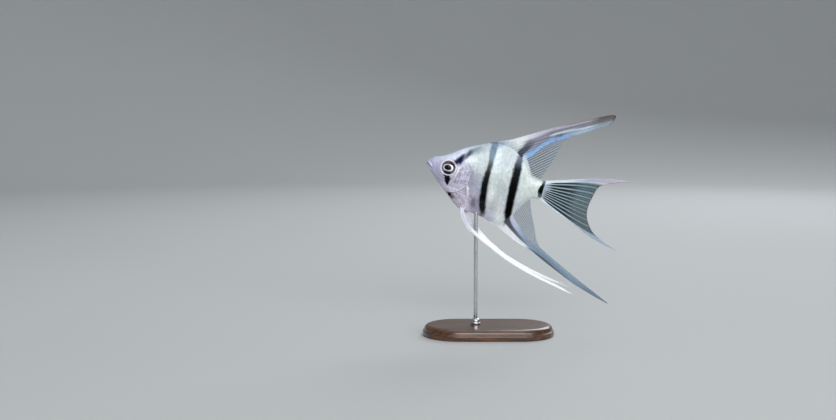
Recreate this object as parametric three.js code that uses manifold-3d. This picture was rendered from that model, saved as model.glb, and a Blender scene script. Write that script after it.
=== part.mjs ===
// A freshwater angelfish, life size, as a still display model on a small stand.
// Millimetres, +Z up. The origin is the centre of the base's underside. The fish swims towards -X,
// nose up, and its left side faces -Y. It is modelled level, in a frame of its own (x from the snout
// tip towards the tail, z up from the line between snout and tail root), and its group tips it.
import * as THREE from "three";
import { mergeVertices } from "three/addons/utils/BufferGeometryUtils.js";
import Module from "manifold-3d";

const wasm = await Module();
wasm.setup();

// Driving dimensions.
const BODY_LENGTH = 76.5; // snout tip to the end of the flesh, under the root of the tail fin
const NOSE_UP = THREE.MathUtils.degToRad(13.7);
const SNOUT = new THREE.Vector3(-39.6, 0, 111); // puts the fish's weight over the base's centre
const GAP = 0.3; // between two pieces that touch
const NOSE_ROUND = 1.7; // the snout's rounding ends this far back
const GILL_COVER_DEPTH = 1.1;
const EYE = { x: 14.1, y: 3.3, z: 0.05, radius: 4.4, depth: 2.6, forward: 0.19, up: 0.1 };
const TAIL_STEM_FROM = 67.5;
const WIDE = 40; // a cutting prism reaches this far past the flesh

const FIN_HALF_THICKNESS = [0.5, 0.27]; // at a fin's root and at its outer edge
const PECTORAL = {
  x: 29.6, y: 7.2, z: -10.2, rootBack: 1.6, rootDown: 4.6,
  firstRay: -20, fan: 56, narrowing: 0.5, leaning: 0.26,
  halfThickness: [0.42, 0.26],
};
const PELVIC_HALF_THICKNESS = [0.4, 0.3];

const BASE = { length: 84, width: 46, height: 7, edge: 1.2 };
const ROD = { x: -8.2, radius: 1.2, top: 83 }; // the belly cuts the rod below this height
const COLLAR = { radius: 3.2, height: 3.5, bore: 1.6, straight: 0.6, neck: 0.8 };

// How finely the faces are laid out.
const SAME_POINT = 1e-4;
const FLATNESS = 0.015;
const FLESH_MESH = { rows: 40, around: 32, crowding: 1.25 };
const INNER_MESH = { rows: 20, around: 20, crowding: 1.25 };

// ---- Lines ----

// A smooth line through knots [at, value]: a cubic between each two, with a knot's slope set by its
// neighbours.
function through(knots) {
  const slope = knots.map((_, i) => {
    const [xa, va] = knots[Math.max(i - 1, 0)];
    const [xb, vb] = knots[Math.min(i + 1, knots.length - 1)];
    return (vb - va) / (xb - xa);
  });
  return (x) => {
    let i = 0;
    while (i < knots.length - 2 && x > knots[i + 1][0]) i += 1;
    const [xa, va] = knots[i];
    const [xb, vb] = knots[i + 1];
    const d = xb - xa;
    const t = THREE.MathUtils.clamp((x - xa) / d, 0, 1);
    const h = t * t * (3 - 2 * t);
    const a = t * (1 - t) * (1 - t) * slope[i] * d;
    const b = t * t * (1 - t) * slope[i + 1] * d;
    return va + (vb - va) * h + a - b;
  };
}

// The same for a line in the median plane: knots [share, x, z].
function pathThrough(knots) {
  const x = through(knots.map((k) => [k[0], k[1]]));
  const z = through(knots.map((k) => [k[0], k[2]]));
  return (share) => new THREE.Vector2(x(share), z(share));
}

const backLine = through([
  [0, 2.1], [4.6, 4.7], [8.9, 6.6], [13.5, 9.3], [19.8, 13.6], [26.6, 17.2], [35.4, 21.0],
  [42, 22.7], [48, 23.0], [53.7, 20.9], [59.3, 16.3], [63, 11.8], [66.6, 7.8], [70, 6.2],
  [73, 6.1], [BODY_LENGTH, 5.6],
]);
const bellyLine = through([
  [0, -0.9], [2.9, -3.7], [6.9, -7.9], [11.9, -12.3], [16.8, -16.3], [20.9, -19.8], [26.8, -23.7],
  [31, -24.5], [35.3, -24.5], [41.7, -25.6], [47, -26.8], [53, -27], [57.5, -24.8], [60.7, -20.2],
  [64.9, -12.3], [68.2, -7.9], [71.1, -6.4], [BODY_LENGTH, -5.8],
]);
const widestLine = through([
  [0, 1.1], [4.6, 2.6], [8.9, 3.85], [13.5, 5.0], [20, 6.0], [27, 6.3], [35, 6.1], [45, 5.3],
  [55, 4.1], [62, 3.0], [68, 2.3], [73, 1.7], [BODY_LENGTH, 0.6],
]);
// How sharply a section's edge closes above and below: 1 is an ellipse, 2 a lens.
const backSharpness = through([
  [0, 0.9], [14, 1.05], [26, 1.35], [40, 1.8], [58, 1.8], [68, 1.1], [BODY_LENGTH, 1],
]);
const bellySharpness = through([
  [0, 0.9], [14, 1], [28, 1.1], [40, 1.45], [52, 1.8], [60, 1.7], [68, 1.1], [BODY_LENGTH, 1],
]);
// How much fuller the lower flank is than the upper one, over the gut.
const belliedness = through([[0, 0], [15, 0.05], [28, 0.14], [42, 0.08], [55, 0], [BODY_LENGTH, 0]]);

function noseRounding(x) {
  const left = 1 - Math.min(x / NOSE_ROUND, 1);
  return Math.sqrt(1 - left * left);
}

// A point of the flesh: x along the body, angle from the back (0) down the left flank to the belly
// (pi) and up the right one. grow moves it outwards, and a negative one moves only the flanks in.
function bodyPoint(x, angle, grow, target) {
  const round = noseRounding(x);
  const top = backLine(x) * round + Math.max(grow, 0);
  const bottom = bellyLine(x) * round - Math.max(grow, 0);
  const up = Math.cos(angle);
  const side = Math.abs(Math.sin(angle));
  const sharpness = up > 0 ? backSharpness(x) : bellySharpness(x);
  const fuller = 1 - 1.5 * belliedness(x) * up * side * side;
  const half = Math.max(widestLine(x) * round + grow, 0.1) * side ** sharpness * fuller;
  return target.set(
    x,
    -Math.sign(Math.sin(angle)) * half,
    (top + bottom) / 2 + ((top - bottom) / 2) * up,
  );
}

// ---- Solids ----

function solidOf(geometry) {
  const bare = geometry.clone();
  bare.deleteAttribute("normal");
  bare.deleteAttribute("uv");
  const merged = mergeVertices(bare, SAME_POINT);
  const old = merged.index.array;
  const kept = [];
  for (let i = 0; i < old.length; i += 3) {
    const [a, b, c] = [old[i], old[i + 1], old[i + 2]];
    if (a !== b && b !== c && c !== a) kept.push(a, b, c);
  }
  const mesh = new wasm.Mesh({
    numProp: 3,
    vertProperties: new Float32Array(merged.attributes.position.array),
    triVerts: new Uint32Array(kept),
  });
  return new wasm.Manifold(mesh);
}

function geometryOf(solid) {
  const mesh = solid.simplify(FLATNESS).getMesh();
  const geometry = new THREE.BufferGeometry();
  geometry.setAttribute("position", new THREE.BufferAttribute(mesh.vertProperties, 3));
  geometry.setIndex(new THREE.BufferAttribute(mesh.triVerts, 1));
  geometry.computeVertexNormals();
  return geometry;
}

// The flesh as a closed grid: rows of points round it, the first and last drawn in to one point.
function bodySolid(grow = 0, { rows, around, crowding } = FLESH_MESH) {
  const position = [];
  const index = [];
  const point = new THREE.Vector3();
  for (let row = 0; row <= rows; row += 1) {
    const share = Math.min(row / (rows - 1), 1);
    const x = BODY_LENGTH * share ** crowding;
    for (let k = 0; k < around; k += 1) {
      bodyPoint(x, (2 * Math.PI * k) / around, grow, point);
      if (row === 0) point.set(-Math.max(grow, 0), 0, 0);
      if (row >= rows - 1) point.x += Math.max(grow, 0);
      if (row === rows) point.set(point.x, 0, 0);
      position.push(point.x, point.y, point.z);
      if (row === rows) continue;
      const next = (k + 1) % around;
      const [a, b] = [row * around + k, row * around + next];
      const [c, d] = [a + around, b + around];
      index.push(a, b, c, b, d, c);
    }
  }
  const geometry = new THREE.BufferGeometry();
  geometry.setAttribute("position", new THREE.Float32BufferAttribute(position, 3));
  geometry.setIndex(index);
  return solidOf(geometry);
}

// A plate: middle(u, v) is its middle surface, half(u, v) half its thickness, along Y.
function plateSolid(middle, half, across, along) {
  const position = [];
  const index = [];
  const at = (side, i, j) => (side * (across + 1) + i) * (along + 1) + j;
  for (const side of [0, 1]) {
    for (let i = 0; i <= across; i += 1) {
      for (let j = 0; j <= along; j += 1) {
        const p = middle(i / across, j / along);
        const t = half(i / across, j / along);
        position.push(p.x, p.y + (side ? t : -t), p.z);
      }
    }
  }
  const quad = (a, b, c, d) => index.push(a, b, c, a, c, d);
  for (let i = 0; i < across; i += 1) {
    for (let j = 0; j < along; j += 1) {
      quad(at(0, i, j), at(0, i + 1, j), at(0, i + 1, j + 1), at(0, i, j + 1));
      quad(at(1, i, j), at(1, i, j + 1), at(1, i + 1, j + 1), at(1, i + 1, j));
    }
    quad(at(0, i + 1, 0), at(0, i, 0), at(1, i, 0), at(1, i + 1, 0));
    quad(at(0, i, along), at(0, i + 1, along), at(1, i + 1, along), at(1, i, along));
  }
  for (let j = 0; j < along; j += 1) {
    quad(at(0, 0, j), at(0, 0, j + 1), at(1, 0, j + 1), at(1, 0, j));
    quad(at(0, across, j + 1), at(0, across, j), at(1, across, j), at(1, across, j + 1));
  }
  const geometry = new THREE.BufferGeometry();
  geometry.setAttribute("position", new THREE.Float32BufferAttribute(position, 3));
  geometry.setIndex(index);
  const solid = solidOf(geometry);
  if (solid.volume() > 0) return solid;
  geometry.setIndex(index.map((_, i) => index[i - (i % 3) + 2 - (i % 3)]));
  return solidOf(geometry);
}

// A prism of an outline in the median plane, grown all round, from y = near to y = far.
function prismSolid(outline, grow = 0, near = -WIDE, far = WIDE) {
  const section = new wasm.CrossSection([outline], "NonZero").offset(grow, "Miter");
  // The outline's y becomes z, and the depth runs towards -Y.
  return section.extrude(far - near).rotate([90, 0, 0]).translate([0, far, 0]);
}

function eyeSolid(side, grow = 0) {
  const geometry = new THREE.SphereGeometry(1, 18, 10);
  geometry.rotateX(Math.PI / 2);
  geometry.scale(EYE.radius + grow, EYE.depth + grow, EYE.radius + grow);
  geometry.rotateX(side * EYE.up);
  geometry.rotateZ(side * EYE.forward);
  geometry.translate(EYE.x, side * EYE.y, EYE.z);
  return solidOf(geometry);
}

// ---- Head, trunk and tail stem, parted by thin cuts ----

const fleshLeft = -1;
const fleshRight = 1;
const flesh = bodySolid();
const grownFlesh = bodySolid(GAP);

// The gill covers' outline. Its rear edge is where the head ends.
const gillRear = [
  [24.2, 5.6], [26.6, 3.4], [28.1, 0.2], [28.4, -3.4], [27.4, -7.4], [24.6, -10.6], [20.9, -13.3],
  [17.4, -14.9],
];
const gillFront = [[14.9, -12.4], [16.6, -8], [17.6, -3.2], [18.9, 1.8], [21, 4.8]];
const nape = [[23.6, WIDE], [24.2, 16]];
const throat = [[14.4, -17.6], [9, -WIDE]];
const headOutline = [[-WIDE, WIDE], ...nape, ...gillRear, ...throat, [-WIDE, -WIDE]];
const headRegion = prismSolid(headOutline);
const pastTail = BODY_LENGTH + WIDE;
const tailOutline = [[TAIL_STEM_FROM, -WIDE], [pastTail, -WIDE], [pastTail, WIDE], [TAIL_STEM_FROM, WIDE]];
const tailRegion = prismSolid(tailOutline);

// The mouth's cleft slopes down and back from the lips to the corner, and the jaw joint is behind it.
const mouthCorner = [3.9, -2.2];
const jawJoint = [7.6, -6.6];
const jawOutline = [[-5, 0.6], [-0.2, 0.15], mouthCorner, jawJoint, [7.4, -12], [-5, -12]];

const eyes = { left: eyeSolid(fleshLeft), right: eyeSolid(fleshRight) };
const eyeSockets = eyeSolid(fleshLeft, GAP).add(eyeSolid(fleshRight, GAP));

const midGap = 0.1; // the two covers' cuts stop short of the median plane by this
const coverRegion = (grow, side) =>
  prismSolid([...gillRear, ...gillFront], grow, side < 0 ? -WIDE : midGap, side < 0 ? -midGap : WIDE);
const underCovers = bodySolid(-GILL_COVER_DEPTH, INNER_MESH);
const belowSlots = bodySolid(-GILL_COVER_DEPTH - GAP, INNER_MESH);
const gillCover = (side) =>
  flesh.subtract(underCovers).intersect(coverRegion(0, side)).subtract(eyeSockets);
const coverSlot = (side) => grownFlesh.subtract(belowSlots).intersect(coverRegion(GAP, side));

const head = flesh
  .intersect(headRegion)
  .subtract(prismSolid(jawOutline, GAP))
  .subtract(eyeSockets)
  .subtract(coverSlot(fleshLeft))
  .subtract(coverSlot(fleshRight));
const lowerJaw = flesh.intersect(prismSolid(jawOutline));
const trunk = flesh.subtract(prismSolid(headOutline, GAP)).subtract(prismSolid(tailOutline, GAP));
const tailStem = flesh.intersect(tailRegion);

// ---- Fins ----

// A fin of rays: each runs from root(u) to tip(u), arched by a share of its length to one side, most
// at two thirds of its length, and sways out of the median plane with the square of its reach.
function raySurface({ root, tip, arch, sway }) {
  return (u, v) => {
    const a = root(u);
    const b = tip(u);
    const lift = 6.75 * v * v * (1 - v) * arch(u);
    const x = a.x + (b.x - a.x) * v - (b.y - a.y) * lift;
    const z = a.y + (b.y - a.y) * v + (b.x - a.x) * lift;
    return new THREE.Vector3(x, sway(v * a.distanceTo(b)), z);
  };
}

const dorsal = raySurface({
  root: pathThrough([
    [0, 33.6, 19.0], [0.25, 41, 21.2], [0.5, 49, 21.0], [0.7, 57, 16.2], [0.85, 63, 10.3], [1, 70.6, 5.2],
  ]),
  tip: pathThrough([
    [0, 35.6, 21.5], [0.1, 46.6, 25.7], [0.15, 53.2, 28.7], [0.2, 59.9, 32.7], [0.3, 76.3, 41.8],
    [0.4, 93.8, 50.6], [0.48, 109.5, 57.2], [0.53, 108.6, 51.4], [0.6, 98, 44.5], [0.66, 89.6, 39.8],
    [0.7, 84.0, 36.6], [0.77, 80.6, 31.0], [0.85, 78.6, 23.0], [0.93, 75.8, 14.6], [1, 73.2, 7.4],
  ]),
  arch: (u) => 0.008 * Math.sin(Math.PI * Math.min(u * 1.2, 1)),
  sway: (reach) => 0.0011 * reach * reach,
});
const anal = raySurface({
  root: pathThrough([
    [0, 43.6, -24.6], [0.3, 50.6, -25.2], [0.55, 56.6, -23.4], [0.7, 60, -19.2], [0.85, 64, -11.8],
    [1, 68.8, -6.2],
  ]),
  tip: pathThrough([
    [0, 45.8, -26.8], [0.1, 54.4, -29.7], [0.2, 67.7, -35.9], [0.3, 82.7, -40.8], [0.38, 96.1, -47.3],
    [0.44, 113.5, -54.6], [0.48, 133.3, -60.0], [0.54, 117, -52.4], [0.62, 99, -43.9], [0.69, 85, -37.0],
    [0.77, 79.8, -31.5], [0.85, 76.8, -24.5], [0.93, 73, -16.6], [1, 70, -8.6],
  ]),
  arch: (u) => -0.015 * Math.sin(Math.PI * Math.min(u * 1.2, 1)),
  sway: (reach) => -0.0008 * reach * reach,
});
const caudal = raySurface({
  root: pathThrough([[0, 72.5, 5.6], [0.5, 74.2, 0], [1, 72.5, -5.3]]),
  tip: pathThrough([
    [0, 130, 18.2], [0.05, 120.5, 15.4], [0.1, 113, 12.3], [0.17, 110, 9.4], [0.3, 108.2, 3.2],
    [0.5, 107, -3.8], [0.7, 107.9, -10], [0.82, 110.8, -15], [0.89, 115, -19.3], [0.95, 122.5, -23],
    [1, 132.6, -26.8],
  ]),
  arch: (u) => THREE.MathUtils.lerp(0.032, -0.03, u),
  sway: (reach) => 0.0013 * reach * reach,
});

const taper = ([root, tip]) => (u, v) => root + (tip - root) * v;
const finSolid = (surface, across, along) =>
  plateSolid(surface, taper(FIN_HALF_THICKNESS), across, along).subtract(grownFlesh);
const dorsalFin = finSolid(dorsal, 24, 5);
const analFin = finSolid(anal, 24, 5);
const caudalFin = finSolid(caudal, 20, 5);

// A paddle of rays behind each gill cover, spread down and back, and held a little off the flank.
const pectoralReach = through([[0, 13.2], [0.3, 15.2], [0.6, 13.6], [1, 8.2]]);
function pectoral(side) {
  return (u, v) => {
    const reach = pectoralReach(u) * v;
    const angle = THREE.MathUtils.degToRad(PECTORAL.firstRay - PECTORAL.fan * u);
    const x = PECTORAL.x + PECTORAL.rootBack * u + reach * Math.cos(angle);
    const y = PECTORAL.y - PECTORAL.narrowing * u + PECTORAL.leaning * reach;
    const z = PECTORAL.z - PECTORAL.rootDown * u + reach * Math.sin(angle);
    return new THREE.Vector3(x, side * y, z);
  };
}
const pectoralFin = (side) =>
  plateSolid(pectoral(side), taper(PECTORAL.halfThickness), 7, 6).subtract(grownFlesh);

// A long feeler under the breast on each side, a narrow blade that trails back under the anal fin. The
// left one hangs a little below the line between the two, and the right one as much above it.
const pelvicLine = pathThrough([
  [0, 28.4, -21.0], [0.07, 31.3, -26.9], [0.155, 36.4, -32.4], [0.235, 42.6, -36.6], [0.335, 50.7, -41.1],
  [0.425, 58.1, -44.7], [0.51, 65.4, -47.7], [0.67, 79.6, -52.1], [0.825, 93.4, -55.2], [1, 110, -58.0],
]);
const pelvicHalfWidth = through([
  [0, 1.2], [0.1, 1.4], [0.3, 1.25], [0.6, 1.2], [0.85, 1.05], [0.95, 0.8], [1, 0.45],
]);
const pelvicApart = through([
  [0, 0.5], [0.08, 1.1], [0.16, 1.4], [0.26, 0.9], [0.36, 0.35], [0.85, 0.4], [0.94, 0.8], [1, 0.8],
]);
const pelvicSpread = through([[0, 1.5], [0.12, 2.9], [0.4, 4.6], [0.7, 6.0], [1, 7.6]]);
function pelvic(side) {
  return (u, v) => {
    const here = pelvicLine(v);
    const ahead = pelvicLine(Math.min(v + 0.01, 1)).sub(pelvicLine(Math.max(v - 0.01, 0))).normalize();
    const offset = pelvicHalfWidth(v) * (2 * u - 1) + pelvicApart(v) * side;
    return new THREE.Vector3(here.x - ahead.y * offset, side * pelvicSpread(v), here.y + ahead.x * offset);
  };
}
const pelvicFin = (side) =>
  plateSolid(pelvic(side), taper(PELVIC_HALF_THICKNESS), 3, 20).subtract(grownFlesh);

// ---- Stand ----

// A flat base with round ends and a bevelled top edge, its underside at z = 0.
function baseGeometry() {
  const outer = BASE.width / 2 - BASE.edge;
  const straight = (BASE.length - BASE.width) / 2;
  const shape = new THREE.Shape();
  shape.absarc(straight, 0, outer, -Math.PI / 2, Math.PI / 2);
  shape.absarc(-straight, 0, outer, Math.PI / 2, (3 * Math.PI) / 2);
  shape.closePath();
  return new THREE.ExtrudeGeometry(shape, {
    depth: BASE.height - 2 * BASE.edge,
    bevelThickness: BASE.edge,
    bevelSize: BASE.edge,
    bevelSegments: 3,
    curveSegments: 20,
  }).translate(0, 0, BASE.edge);
}

// The fish's own frame, tipped nose up and lifted to where the rod holds it.
const fish = new THREE.Group();
fish.position.copy(SNOUT);
fish.rotation.y = NOSE_UP;
fish.updateMatrixWorld(true);

const plain = { roughness: 0.4, metalness: 0 };
const silver = new THREE.MeshStandardMaterial({ color: 0xc9cfd6, ...plain });
const lilac = new THREE.MeshStandardMaterial({ color: 0xb4b0c2, ...plain });
const fin = new THREE.MeshStandardMaterial({ color: 0xa4b2c4, ...plain });
const feeler = new THREE.MeshStandardMaterial({ color: 0xf2f3f5, ...plain });
const iris = new THREE.MeshStandardMaterial({ color: 0x1a1a20, roughness: 0.1, metalness: 0 });
const baseFinish = new THREE.MeshStandardMaterial({ color: 0x2b2420, roughness: 0.35, metalness: 0 });
const steel = new THREE.MeshStandardMaterial({ color: 0xb9bcc0, roughness: 0.3, metalness: 1 });

function addMesh(parent, name, geometry, material) {
  const mesh = new THREE.Mesh(geometry, material);
  mesh.name = name;
  parent.add(mesh);
  return mesh;
}

const model = new THREE.Group();
model.add(fish);

const fleshNodes = [
  ["head", head, lilac],
  ["lower_jaw", lowerJaw, lilac],
  ["gill_cover_left", gillCover(fleshLeft), lilac],
  ["gill_cover_right", gillCover(fleshRight), lilac],
  ["trunk", trunk, silver],
  ["tail_stem", tailStem, silver],
  ["eye_left", eyes.left, iris],
  ["eye_right", eyes.right, iris],
  ["dorsal_fin", dorsalFin, fin],
  ["anal_fin", analFin, fin],
  ["caudal_fin", caudalFin, fin],
  ["pectoral_fin_left", pectoralFin(fleshLeft), fin],
  ["pectoral_fin_right", pectoralFin(fleshRight), fin],
  ["pelvic_fin_left", pelvicFin(fleshLeft), feeler],
  ["pelvic_fin_right", pelvicFin(fleshRight), feeler],
];
for (const [name, solid, material] of fleshNodes) addMesh(fish, name, geometryOf(solid), material);

// The rod stops a gap under the belly, which is not level there, so the flesh cuts its top.
const standing = new THREE.Matrix4().copy(fish.matrixWorld);
const beltedFlesh = solidOf(geometryOf(grownFlesh).applyMatrix4(standing));
const rodBottom = BASE.height + GAP;
const rodGeometry = new THREE.CylinderGeometry(ROD.radius, ROD.radius, ROD.top - rodBottom, 20);
rodGeometry.rotateX(Math.PI / 2);
rodGeometry.translate(ROD.x, 0, (ROD.top + rodBottom) / 2);
const rod = solidOf(rodGeometry).subtract(beltedFlesh);

const collarProfile = [
  [COLLAR.bore, 0], [COLLAR.radius, 0], [COLLAR.radius, COLLAR.height * COLLAR.straight],
  [COLLAR.radius * COLLAR.neck, COLLAR.height], [COLLAR.bore, COLLAR.height], [COLLAR.bore, 0],
].map(([r, z]) => new THREE.Vector2(r, z));
const collarGeometry = new THREE.LatheGeometry(collarProfile, 24);
collarGeometry.rotateX(Math.PI / 2);
collarGeometry.translate(ROD.x, 0, rodBottom);

addMesh(model, "stand_base", baseGeometry(), baseFinish);
addMesh(model, "stand_rod", geometryOf(rod), steel);
addMesh(model, "stand_collar", collarGeometry, steel);

export default model;
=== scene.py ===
"""A silver freshwater angelfish at life size, held by a slim rod on a varnished wooden base.

The fish is worked out in a frame of its own, in millimetres: x runs from the snout tip towards the tail, z up
from the line between snout and tail root, and the left side lies at negative y. FishFrame carries its points
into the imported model's frame, in metres. One skin covers all the flesh, the scales are mesh laid over it, and
skin, scales and fin roots take their colours from the same markings.
"""

from __future__ import annotations

import logging
from collections.abc import Callable, Mapping, Sequence
from dataclasses import dataclass, field
from enum import Enum

import bpy
import numpy as np
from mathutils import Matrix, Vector

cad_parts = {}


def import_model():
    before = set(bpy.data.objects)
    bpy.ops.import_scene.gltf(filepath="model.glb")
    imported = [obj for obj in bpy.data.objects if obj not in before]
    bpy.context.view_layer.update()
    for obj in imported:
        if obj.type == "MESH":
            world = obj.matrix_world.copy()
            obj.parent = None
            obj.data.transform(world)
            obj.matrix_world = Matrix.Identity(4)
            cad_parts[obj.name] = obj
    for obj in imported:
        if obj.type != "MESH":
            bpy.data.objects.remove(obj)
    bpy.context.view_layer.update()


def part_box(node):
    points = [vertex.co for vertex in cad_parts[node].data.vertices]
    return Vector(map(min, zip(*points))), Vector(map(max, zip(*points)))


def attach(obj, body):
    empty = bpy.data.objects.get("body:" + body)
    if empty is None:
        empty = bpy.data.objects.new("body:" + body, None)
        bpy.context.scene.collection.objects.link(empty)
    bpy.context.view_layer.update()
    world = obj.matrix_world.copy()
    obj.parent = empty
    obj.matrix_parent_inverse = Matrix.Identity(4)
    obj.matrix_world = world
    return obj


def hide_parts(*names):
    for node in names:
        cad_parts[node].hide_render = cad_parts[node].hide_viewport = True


Array = np.ndarray
Pair = tuple[float, float]
Triple = tuple[float, float, float]
Points = Sequence[Pair]
Folds = Sequence[Triple]
Span = Pair
Piece = bpy.types.Object
Material = bpy.types.Material
Socket = bpy.types.NodeSocket
Input = float | tuple[float, ...] | Socket

LOG = logging.getLogger("angelfish")
BODY = "root"
MM = 0.001
BAKE_MAP = "OFBake"
BAKE_MARGIN = 0.02
SCALE_PATCH = 0.003  # how wide one scale's patch is on the bake map
NOSE_UP = 13.7  # the fish's rise, in degrees
FIRST_SEED = 31
SKIN_DEPTH = 0.14  # how far the skin lies inside the solids, for the scales over it
SPOTS = (0.3, 0.7)  # the part of a cloudy pattern's range that its spots fill


class Side(Enum):
    """The fish's two sides, by the sign of y."""

    LEFT = -1
    RIGHT = 1

    @property
    def word(self) -> str:
        """The side's name as a piece's name ends in it."""
        return self.name.lower()


# ---- Numbers and colours ----


class Tone(Enum):
    """The fish's colours, as six-digit screen colours: flesh, dark marks, eyes, then fins and feelers, some of
    them painted highlights and shade.
    """

    CREAM = "E2EEF3"
    MINT = "D5E1E2"
    PEARL = "C9CFD5"
    CHALK = "F2FCF9"
    OYSTER = "DCE5DF"
    SHELL = "E4E8E8"
    BACK_BLUE = "A4B2CC"
    SADDLE_BLUE = "8496B4"
    FRONT = "CED9DC"
    FOREHEAD = "DDE4F2"
    GILL = "9597AA"
    LAVENDER = "A7A3B9"
    BREAST = "BCB4C6"
    # painted shade: two patches by the gill cover's rear edge, and the breast fin's shadow on the flank
    SHADE = "645F72"
    SNOUT = "B3B3D0"
    ROSE = "CBA3B6"
    # painted highlight on the raised edges and ridge lines of the head and the breast fin's root
    IVORY_HIGHLIGHT = "E9EBF5"
    # painted shade in the mouth's cleft, the lip and cheek crease lines and the nostril
    CREASE = "4A4258"
    # painted shade in the groove behind the breast fin's root
    FIN_ROOT_SHADE = "565064"

    NAVY = "0D1A3C"
    INK = "070C0D"
    STEEL_BLUE = "4C687F"
    BAR_TOP = "64768A"
    BAR_FOOT = "4B5560"
    BAR_IN_FIN = "3A404C"
    TAIL_BAR_EDGE = "26324A"
    WEDGE = "0D0A14"
    # painted shade in the sunken gap at the throat
    THROAT_SHADE = "09080C"

    IRIS = "777389"
    IRIS_GREY = "4B4656"
    IRIS_PLUM = "37304A"
    IRIS_RIM = "17131F"
    SILVER = "F1F3F6"
    MAROON = "4A0F2A"
    SOOT = "1A171E"
    PUPIL = "04050A"

    FIN_WHITE = "E9F1F6"
    HEATHER = "E2E0EE"
    LILAC = "C4C2D4"
    SMOKE = "868697"
    SLATE = "8494A8"
    DUSK = "747A8A"
    MILK = "C2CDDB"
    PALE = "9CB0C4"
    SKY = "8BB2EA"
    RUST = "85706A"
    POINT_BROWN = "524A4A"
    POINT_GREY = "8793A0"
    STREAK = "3C4656"
    NIGHT = "0C1522"
    FROST = "B7C8DA"
    SNOW = "ECF2F8"
    WISTERIA = "BFC6DF"
    DENIM = "8A9FB8"
    PEWTER = "7B8194"
    HARBOUR = "6C8092"
    DRIFT = "8298AC"
    DEEP_BLUE = "020406"
    DEEP_GREEN = "060C0C"
    RAY_PALE = "C3D3DF"
    RAY_MIST = "98B4C2"
    RAY_TEAL = "728E98"
    RAY_AQUA = "7FAAB8"
    ICE = "A9B9CC"
    FILAMENT = "CBD6E4"
    FILAMENT_DUSK = "94A5B6"
    TIP_PINK = "C0A8B4"
    TIP_BLUSH = "D8C2CC"
    GLASS = "B9B6C6"
    GLASS_RAY = "ECEDF4"
    # painted shade at the feelers' roots, under the breast
    FEELER_ROOT_SHADE = "CDCFDC"
    FEELER_WHITE = "FCFCFF"

    @property
    def rgb(self) -> Array:
        """The tone's linear colour."""
        return linear(self.value)


Colour = Array | Tone


def step(none: float, full: float, value: Array) -> Array:
    """A share that goes from 0 at none to 1 at full, level at both ends: 3t^2 - 2t^3."""
    share = np.clip((value - none) / (full - none), 0.0, 1.0)
    return share * share * (3.0 - 2.0 * share)


def hill(distance: Array, width: float) -> Array:
    """A round hill of height 1: e to the minus square of distance over width."""
    return np.exp(-np.square(distance / width))


def oval(x: Array, z: Array, middle: Pair, size: Pair) -> Array:
    """A round hill over an oval: its middle, and how far it reaches along and up."""
    return hill(np.hypot((x - middle[0]) / size[0], (z - middle[1]) / size[1]), 1.0)


def folded(distance: Array, folds: Folds) -> Array:
    """Ridges and grooves beside a line: a sum of hills, each given by its height, distance and width."""
    return sum(height * hill(distance - place, width) for height, place, width in folds)


def linear(code: str) -> Array:
    """The linear colour of a six-digit screen colour."""
    screen = np.array([int(code[i : i + 2], 16) for i in (0, 2, 4)]) / 255.0
    return np.where(screen <= 0.04045, screen / 12.92, ((screen + 0.055) / 1.055) ** 2.4)


def mix(first: Colour, second: Colour, share: Array) -> Array:
    """Colours between two: first where share is 0, second where it is 1.

    Args:
        first: Colours or a tone.
        second: Colours or a tone.
        share: How much of the second.

    Returns:
        The colours.
    """
    first, second = (colour.rgb if isinstance(colour, Tone) else colour for colour in (first, second))
    return first * (1.0 - share[..., None]) + second * share[..., None]


def distance_to_line(points: Points, x: Array, z: Array) -> Array:
    """Distance in the median plane to a line of straight stretches.

    Args:
        points: The line's corners.
        x: Places along the fish.
        z: Heights over its axis.

    Returns:
        The least of the distances to the stretches.
    """
    nearest = np.full(np.shape(x), np.inf)
    for (x0, z0), (x1, z1) in zip(points, points[1:]):
        dx, dz = x1 - x0, z1 - z0
        share = np.clip(((x - x0) * dx + (z - z0) * dz) / (dx * dx + dz * dz), 0.0, 1.0)
        nearest = np.minimum(nearest, np.hypot(x - x0 - share * dx, z - z0 - share * dz))
    return nearest


@dataclass(frozen=True)
class Curve:
    """A smooth line through knots (at, value): a cubic between each two, sloped by their neighbours."""

    knots: tuple[Pair, ...]

    def __call__(self, at: Array) -> Array:
        """The line's values, level beyond its first and last knots.

        Args:
            at: Where to read the line.

        Returns:
            The values.
        """
        place, value = np.array(self.knots, float).T
        last = len(place) - 1
        ahead = np.minimum(np.arange(last + 1) + 1, last)
        behind = np.maximum(np.arange(last + 1) - 1, 0)
        slope = (value[ahead] - value[behind]) / (place[ahead] - place[behind])
        i = np.clip(np.searchsorted(place, at) - 1, 0, last - 1)
        span = place[i + 1] - place[i]
        t = np.clip((at - place[i]) / span, 0.0, 1.0)
        rise = (value[i + 1] - value[i]) * t * t * (3.0 - 2.0 * t)
        return value[i] + rise + t * (1.0 - t) * span * ((1.0 - t) * slope[i] - t * slope[i + 1])


@dataclass(frozen=True)
class Path:
    """A smooth line in the median plane through knots (share, x, z)."""

    knots: tuple[Triple, ...]

    def __call__(self, share: Array) -> tuple[Array, Array]:
        """The line's x and z."""
        lines = (Curve(tuple((knot[0], knot[axis]) for knot in self.knots)) for axis in (1, 2))
        return tuple(line(share) for line in lines)


# ---- The fish's frame and its meshes ----


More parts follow.
